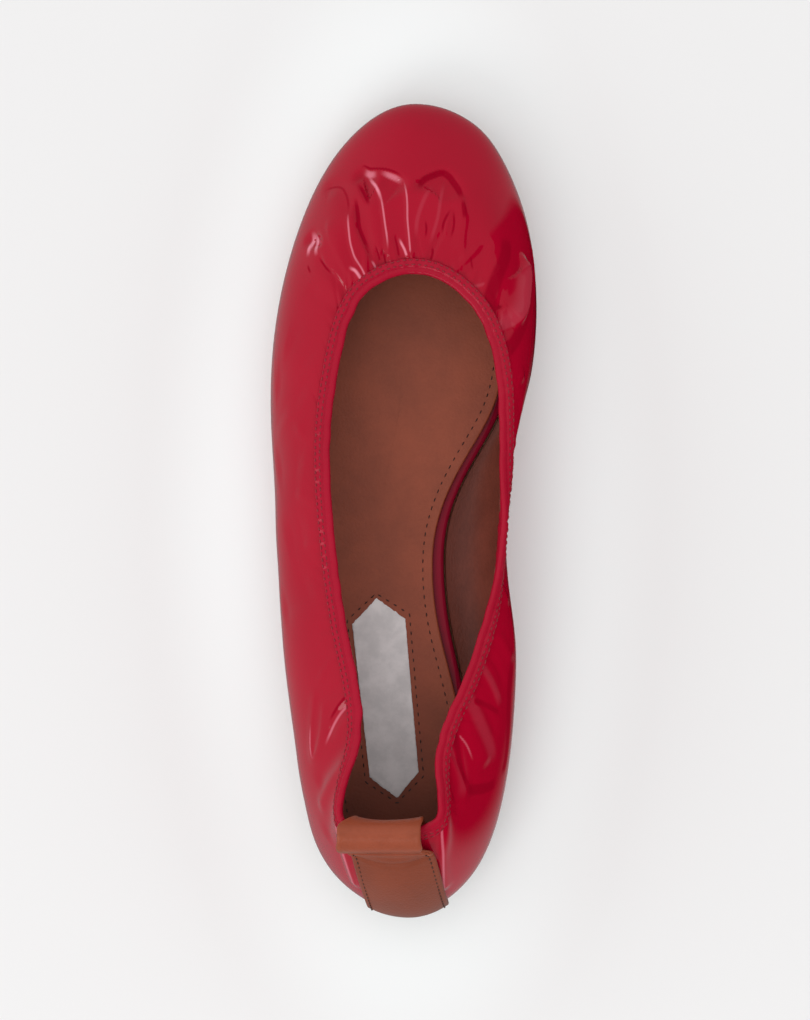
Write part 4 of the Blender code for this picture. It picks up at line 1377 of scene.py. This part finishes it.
def strip_relief(distances, shares, offsets):
    """Relief of the strip in metres: the smile under the loop, the loop's fold and a sag down the heel."""
    d, s = distances[:, None], shares[None, :]
    outside = (offsets > 0)[:, None]
    smile = -0.0065 - 0.0030 * (1 - (2 * s) ** 2)
    crease = 0.00022 * bell(d - smile - 0.0024, 0.0014) - 0.00045 * bell(d - smile, 0.0009)
    fold = 0.00050 * bell(d - 0.0022, 0.0022) - 0.00070 * bell(d + 0.0016, 0.0006)
    sag = 0.0004 * bell(d + 0.020, 0.009) * np.cos(2.2 * s)
    return np.where(outside, crease + fold + sag, 0.0)


def strip_painted_shade(finish):
    """The strip is handled and bleached at its loop and darker down the heel."""
    return (COLLAR_HEIGHT + 0.003 - finish.axis("Z")).clipped(0.0, 0.010) * 0.5


def build_strip():
    """The tan strip up the back of the heel, folded over the collar into a pull loop."""
    distances, offsets = strip_path()
    shares, thick, groove = strip_half_section()
    half = STRIP_THICKNESS / 2
    relief = strip_relief(distances, shares, offsets)
    outer = half * (thick + groove)
    rows = strip_rows(distances, offsets, [(shares, outer), (shares[::-1], -half * thick[::-1])])
    count = len(shares)
    normals = unit(np.cross(np.gradient(rows[:, :count], axis=1), np.gradient(rows[:, :count], axis=0)))
    facing = np.sign(np.sum(normals * (rows[:, :count] - rows[:, ::-1][:, :count]), axis=2))
    normals *= facing[..., None]
    rows[:, :count] += normals * relief[..., None]
    faces = grid_faces(len(rows), 2 * count).tolist()
    faces += end_faces(0, 2 * count) + end_faces(len(rows) - 1, 2 * count)
    colour = tuple(trim_settings().strip_colour)
    material = grain_leather("strip_leather", colour, 0.36, 0.0008, 0.00005, 0.25, strip_painted_shade)
    return make_piece("back_strip", rows, faces, material, "tan_leather", "back_strip", sharp=50)


# Stitches, by Geometry Nodes


def stitch_tree():
    """Geometry Nodes that lay stitches along a line of points. Their lift is the way off the leather."""
    group = bpy.data.node_groups.new("Stitches", "GeometryNodeTree")
    group.interface.new_socket("Geometry", in_out="INPUT", socket_type="NodeSocketGeometry")
    for name in ("Pitch", "Length", "Thread", "Unevenness"):
        group.interface.new_socket(name, in_out="INPUT", socket_type="NodeSocketFloat")
    group.interface.new_socket("Seed", in_out="INPUT", socket_type="NodeSocketInt")
    group.interface.new_socket("Material", in_out="INPUT", socket_type="NodeSocketMaterial")
    group.interface.new_socket("Geometry", in_out="OUTPUT", socket_type="NodeSocketGeometry")
    tree = Tree(group)
    entry = group.nodes.new("NodeGroupInput")
    given = {socket.name: Wire(tree, socket) for socket in entry.outputs if socket.name}
    curve = tree.node("GeometryNodeMeshToCurve", {0: given["Geometry"]})
    spaced = group.nodes.new("GeometryNodeCurveToPoints")
    spaced.mode = "LENGTH"
    group.links.new(curve.socket, spaced.inputs["Curve"])
    group.links.new(given["Pitch"].socket, spaced.inputs["Length"])
    points = Wire(tree, spaced.outputs["Points"])
    tangent = Wire(tree, spaced.outputs["Tangent"])
    lift = tree.node("GeometryNodeInputNamedAttribute", {"Name": "lift"}, data_type="FLOAT_VECTOR")
    along = tree.node("FunctionNodeAlignRotationToVector", {"Vector": tangent}, axis="X")
    turned = tree.node(
        "FunctionNodeAlignRotationToVector", {"Rotation": along, "Vector": lift}, axis="Z", pivot_axis="X"
    )
    sizes = {2: 1.0 - given["Unevenness"], 3: 1.0 + given["Unevenness"], "Seed": given["Seed"]}
    size = tree.node("FunctionNodeRandomValue", sizes, 1, data_type="FLOAT")
    ball = tree.node("GeometryNodeMeshUVSphere", {"Segments": 7, "Rings": 5, "Radius": 0.5})
    shape = tree.node("ShaderNodeCombineXYZ", {0: given["Length"], 1: given["Thread"], 2: given["Thread"]})
    stitch = tree.node("GeometryNodeTransform", {"Geometry": ball, "Scale": shape})
    rounds = tree.node("GeometryNodeSetShadeSmooth", {"Geometry": stitch})
    stretch = tree.node("ShaderNodeCombineXYZ", {0: size, 1: 1.0, 2: 1.0})
    placing = {"Points": points, "Instance": rounds, "Rotation": turned, "Scale": stretch}
    laid = tree.node("GeometryNodeInstanceOnPoints", placing)
    real = tree.node("GeometryNodeRealizeInstances", {0: laid})
    coloured = tree.node("GeometryNodeSetMaterial", {"Geometry": real, "Material": given["Material"]})
    leave = group.nodes.new("NodeGroupOutput")
    group.links.new(coloured.socket, leave.inputs[0])
    return group


def make_stitches(name, lines, pitch, length, thread, material, slot, seed, unevenness=0.12):
    """Rows of stitches as one mesh. lines are (points, lifts, closed)."""
    points, lifts, edges = [], [], []
    for line, ups, closed in lines:
        start, count = len(points), len(line)
        points += np.asarray(line).tolist()
        lifts += np.asarray(ups).tolist()
        edges += [(start + i, start + i + 1) for i in range(count - 1)]
        if closed:
            edges.append((start + count - 1, start))
    mesh = bpy.data.meshes.new(name)
    mesh.from_pydata(points, edges, [])
    lift = mesh.attributes.new("lift", "FLOAT_VECTOR", "POINT")
    lift.data.foreach_set("vector", np.array(lifts, np.float32).ravel())
    made = bpy.data.objects.new(name, mesh)
    bpy.context.scene.collection.objects.link(made)
    group = bpy.data.node_groups.get("Stitches") or stitch_tree()
    modifier = made.modifiers.new("Stitches", "NODES")
    modifier.node_group = group
    values = {
        "Pitch": pitch, "Length": length, "Thread": thread, "Unevenness": unevenness, "Seed": seed,
        "Material": material,
    }
    for item in group.interface.items_tree:
        if item.in_out == "INPUT" and item.name in values:
            modifier[item.identifier] = values[item.name]
    made.update_tag()
    depsgraph = bpy.context.evaluated_depsgraph_get()
    laid = bpy.data.meshes.new_from_object(made.evaluated_get(depsgraph))
    made.modifiers.clear()
    made.data = laid
    laid.name = name
    if not len(laid.polygons):
        raise RuntimeError(f"no stitches were made for {name}")
    if not laid.materials:
        laid.materials.append(material)
    return settle(made, slot)


def build_topline_stitches():
    """Two rows of stitches that close the casing round the topline."""
    middle, normal, climb = topline_form()
    settings = upper_settings()
    fine = binding_wobble(3, settings.pucker_pitch)
    lines = []
    for up, out in STITCH_ROWS:
        far = (out + PINCH * fine)[:, None] * MM
        points = middle + normal * far + climb * up * MM
        lines.append((points, normal, True))
    material = thread_finish("topline_thread", tuple(settings.thread_colour))
    return make_stitches("topline_stitches", lines, 0.0019, 0.0013, 0.00046, material, "patent", 3)


def build_insole_stitches():
    """The dark stitches round the insole and round its label."""
    keep = np.unique(np.linspace(0, AROUND - 1, 480).astype(int))
    edge, label = on_insole(insole_plan(INSOLE_SEAM))[keep], on_insole(label_outline(LABEL_SEAM))
    lines = [(line, np.tile((0.0, 0.0, 1.0), (len(line), 1)), True) for line in (edge, label)]
    material = thread_finish("insole_thread", tuple(trim_settings().insole_thread_colour))
    return make_stitches("insole_stitches", lines, 0.00275, 0.0014, 0.00044, material, "insole_leather", 4)


def build_strip_stitches():
    """The stitches along both edges of the back strip."""
    distances, offsets = strip_path()
    keep = (distances < -0.003) & (offsets > 0)
    half = STRIP_THICKNESS / 2
    lines = []
    for share in (STRIP_SEAM / STRIP_WIDTH - 0.5, 0.5 - STRIP_SEAM / STRIP_WIDTH):
        at = np.array((share,))
        pair = strip_rows(distances, offsets, [(at, np.array((half * 1.20,))), (at, np.array((-half,)))])
        line, back = pair[keep, 0], pair[keep, 1]
        lines.append((line, unit(line - back), False))
    material = thread_finish("strip_thread", tuple(trim_settings().strip_thread_colour))
    return make_stitches("strip_stitches", lines, 0.0022, 0.0015, 0.00046, material, "tan_leather", 5)


# Stage

PHOTO_SCALE = 0.0003065  # metres on the floor for one pixel of the picture
PICTURE_HEIGHT = 1020
CAMERA_HEIGHT = 1.6
CAMERA_ASIDE = 0.0469  # of the camera from the shoe's own middle, towards where its pair stands
SENSOR = 36.0


def build_camera():
    data = bpy.data.cameras.new("camera")
    data.sensor_width = SENSOR
    data.lens = SENSOR * CAMERA_HEIGHT / (PICTURE_HEIGHT * PHOTO_SCALE)
    data.clip_start, data.clip_end = 0.05, 20.0
    camera = bpy.data.objects.new("camera", data)
    bpy.context.scene.collection.objects.link(camera)
    aside = CAMERA_ASIDE - MIDDLE_X
    camera.location = (aside, 0.0, CAMERA_HEIGHT)
    camera.rotation_euler = (0.0, math.atan2(aside, CAMERA_HEIGHT), 0.0)
    bpy.context.scene.camera = camera
    return camera


def build_floor(colour, painted_light_colour):
    """A pale floor whose tone near the shoe takes off some of the red that the leather throws on it."""
    half = 6.0
    mesh = bpy.data.meshes.new("floor")
    corners = [(-half, -half, 0), (half, -half, 0), (half, half, 0), (-half, half, 0)]
    mesh.from_pydata(corners, [], [(0, 1, 2, 3)])
    finish = Finish("floor_paint", Roughness=0.85, IOR=1.3)
    x, y = finish.axis("X") / 0.055, finish.axis("Y") / 0.124
    apart = (x * x + y * y) ** 0.5
    # Painted light: the floor is lighter and less red near the shoe
    finish.set("Base Color", finish.mix(apart.clipped(0.75, 1.50), tuple(painted_light_colour), tuple(colour)))
    mesh.materials.append(finish.material)
    floor = bpy.data.objects.new("floor", mesh)
    bpy.context.scene.collection.objects.link(floor)
    floor.visible_glossy = False
    return floor


def build_world(strength):
    """A pale room. Its even light falls on everything, and gloss mirrors softboxes and dark walls in it."""
    world = bpy.data.worlds.new("room")
    world.use_nodes = True
    bpy.context.scene.world = world
    tree = Tree(world.node_tree)
    way = tree.node("ShaderNodeTexCoord", output="Generated")
    x, y, z = (tree.node("ShaderNodeSeparateXYZ", {0: way}, axis) for axis in "XYZ")
    # What lights the surfaces: an even room, brighter overhead and towards the lateral side
    fill = 0.93 + z.clipped(0.55, 0.95) * 0.28 - x * 0.18 - y * 0.04
    # What gloss mirrors: a dim room, a dark wall on the medial side, the floor's glow under it and a window
    level = (x * x + y * y + 0.0001) ** 0.5
    aside, back = x / level, 0.0 - y / level
    room = 0.25 + (0.0 - x).clipped(0.0, 0.8) * 0.13
    sector = (aside + back.clipped(0.0, 0.3) * 1.30).clipped(0.89, 0.92)
    dark = sector * (1.0 - (z - back.clipped(0.45, 0.75) * 0.27).clipped(0.70, 0.73))
    low = (back * 1.1 - z - 0.85).clipped(0.0, 0.55) * 0.38
    window = back.clipped(0.30, 0.34) * (0.0 - aside).clipped(0.0, 0.04)
    window = window * z.clipped(0.38, 0.41) * (1.0 - z.clipped(0.63, 0.66))
    mirrored = room * (1.0 - dark) + low * sector + window * 2.2
    glossy = tree.node("ShaderNodeLightPath", output="Is Glossy Ray")
    shown = fill * (1.0 - glossy) + mirrored * glossy
    background = world.node_tree.nodes["Background"]
    background.inputs["Color"].default_value = (1.0, 1.0, 1.0, 1.0)
    world.node_tree.links.new((shown * strength).socket, background.inputs["Strength"])
    return world


Lamp = namedtuple("Lamp", "name place width height power")
LAMPS = (
    Lamp("key", (-0.60, -1.00, 1.25), 0.9, 0.6, 4.5),
)


def build_lamps(strength):
    made = []
    for lamp in LAMPS:
        data = bpy.data.lights.new(lamp.name, "AREA")
        data.shape = "RECTANGLE"
        data.size, data.size_y = lamp.width, lamp.height
        data.energy = lamp.power * strength
        light = bpy.data.objects.new(lamp.name, data)
        bpy.context.scene.collection.objects.link(light)
        light.visible_glossy = False
        light.location = lamp.place
        light.rotation_euler = (-Vector(lamp.place)).to_track_quat("-Z", "Y").to_euler()
        made.append(light)
    return made


def build_stage():
    settings = bpy.context.scene.flat_stage
    build_camera()
    build_floor(settings.floor_colour, settings.floor_painted_light_colour)
    build_world(settings.room_light)
    build_lamps(settings.lamp_light)
    bpy.context.scene.view_settings.view_transform = "Standard"


# Settings


def colour_setting(name, description, default):
    return FloatVectorProperty(
        name=name, description=description, subtype="COLOR", size=3, min=0.0, max=1.0, default=default
    )


def factor_setting(name, description):
    return FloatProperty(name=name, description=description, default=1.0, min=0.0, max=2.0)


def size_setting(name, description, default):
    return FloatProperty(name=name, description=description, default=default, unit="LENGTH")


class FlatUpperSettings(bpy.types.PropertyGroup):
    """Sizes and colours of the upper."""

    gather_depth: factor_setting("Vamp gathers", "Depth of the gathers at the throat, as a factor")
    crease_depth: factor_setting("Side creases", "Depth of the folds at the sides and heel, as a factor")
    pucker_pitch: size_setting("Pucker pitch", "Distance between the puckers at the topline", 0.0034)
    pucker_height: size_setting("Pucker height", "Depth of the puckers at the topline", 0.00042)
    puff_height: size_setting("Puff", "Rise of the gathered vamp", 0.0018)
    swell_height: size_setting("Swell", "Height of the broad unevenness of the wall", 0.00016)
    # Strength of the highlights and dark reflections painted along the creases
    painted_reflection_strength: factor_setting("Painted crease reflections", "Strength of the highlights and dark reflections painted on the creases, as a factor")
    leather_thickness: size_setting("Patent leather", "Thickness of the outer leather", 0.0010)
    patent_colour: colour_setting("Patent", "Colour of the patent leather", (0.375, 0.0018, 0.019))
    # Pale colour of the highlights painted along the creases
    painted_highlight_colour: colour_setting("Painted highlight", "Colour of the highlights painted on the creases", (0.80, 0.24, 0.32))
    casing_colour: colour_setting("Casing", "Colour of the casing round the topline", (0.38, 0.004, 0.024))
    lining_colour: colour_setting("Lining", "Colour of the lining", (0.19, 0.043, 0.026))
    thread_colour: colour_setting("Thread", "Colour of the topline's thread", (0.33, 0.012, 0.026))


class FlatTrimSettings(bpy.types.PropertyGroup):
    """Colours of the sole, insole, label and strip."""

    rim_colour: colour_setting("Footbed rim", "Colour of the footbed's wrapped edge", (0.26, 0.003, 0.022))
    insole_colour: colour_setting("Insole", "Colour of the insole", (0.36, 0.080, 0.038))
    label_colour: colour_setting("Label", "Colour of the bare label", (0.88, 0.82, 0.82))
    sole_colour: colour_setting("Outsole", "Colour of the sole leather", (0.36, 0.20, 0.10))
    heel_colour: colour_setting("Heel lift", "Colour of the heel's rubber", (0.05, 0.035, 0.03))
    strip_colour: colour_setting("Back strip", "Colour of the back strip", (0.32, 0.066, 0.028))
    insole_thread_colour: colour_setting("Insole thread", "Colour of its stitches", (0.07, 0.028, 0.020))
    strip_thread_colour: colour_setting("Strip thread", "Colour of the strip's thread", (0.11, 0.036, 0.021))


class FlatStageSettings(bpy.types.PropertyGroup):
    """Light and floor."""

    floor_colour: colour_setting("Floor", "Colour of the floor", (0.778, 0.773, 0.773))
    # Painted light on the floor by the shoe, against its shadow and the red that the leather throws
    floor_painted_light_colour: colour_setting("Painted light by the shoe", "Colour of the light painted on the floor there", (0.94, 0.985, 0.985))
    room_light: factor_setting("Room", "Strength of the room's light, as a factor")
    lamp_light: factor_setting("Lamps", "Strength of the lamps, as a factor")


# Operators


def operator(name, label, text, build):
    """An operator class that runs one build function and raises if it fails."""

    def execute(self, context):
        build()
        return {"FINISHED"}

    body = {"bl_idname": f"flat.{name}", "bl_label": label, "__doc__": text, "execute": execute}
    return type(f"FLAT_OT_{name}", (bpy.types.Operator,), body)


OPERATORS = (
    operator("upper", "Upper", "Builds the gathered patent leather of the upper.", build_upper),
    operator("lining", "Lining", "Builds the lining.", build_lining),
    operator("binding", "Binding", "Builds the casing round the topline.", build_binding),
    operator("footbed", "Footbed", "Builds the footbed with its wrapped rim.", build_footbed),
    operator("insole", "Insole", "Builds the insole.", build_insole),
    operator("label", "Label", "Builds the bare label of the insole.", build_label),
    operator("outsole", "Outsole", "Builds the outsole.", build_outsole),
    operator("heel_lift", "Heel lift", "Builds the heel lift.", build_heel_lift),
    operator("strip", "Back strip", "Builds the back strip with its pull loop.", build_strip),
    operator("topline_stitches", "Topline stitches", "Sews the casing.", build_topline_stitches),
    operator("insole_stitches", "Insole stitches", "Sews the insole and its label.", build_insole_stitches),
    operator("strip_stitches", "Strip stitches", "Sews the edges of the back strip.", build_strip_stitches),
    operator("stage", "Stage", "Builds the floor, the lights and the camera.", build_stage),
)


class FLAT_PT_panel(bpy.types.Panel):
    """Lists the pieces of the ballet flat and their settings."""

    bl_label = "Ballet flat"
    bl_idname = "FLAT_PT_panel"
    bl_space_type = "VIEW_3D"
    bl_region_type = "UI"
    bl_category = "Ballet flat"

    def draw(self, context):
        for settings in ("flat_upper", "flat_trims", "flat_stage"):
            group = getattr(context.scene, settings)
            for name in group.__annotations__:
                self.layout.prop(group, name)
        for made in OPERATORS:
            self.layout.operator(made.bl_idname)


SETTINGS = {"flat_upper": FlatUpperSettings, "flat_trims": FlatTrimSettings, "flat_stage": FlatStageSettings}


def register():
    for made in (*SETTINGS.values(), *OPERATORS, FLAT_PT_panel):
        bpy.utils.register_class(made)
    for name, group in SETTINGS.items():
        setattr(bpy.types.Scene, name, PointerProperty(type=group))


def unregister():
    for name in SETTINGS:
        delattr(bpy.types.Scene, name)
    for made in (FLAT_PT_panel, *reversed(OPERATORS), *SETTINGS.values()):
        bpy.utils.unregister_class(made)


def main():
    register()
    for made in OPERATORS:
        group, name = made.bl_idname.split(".")
        getattr(getattr(bpy.ops, group), name)()


if __name__ == "__main__":
    main()
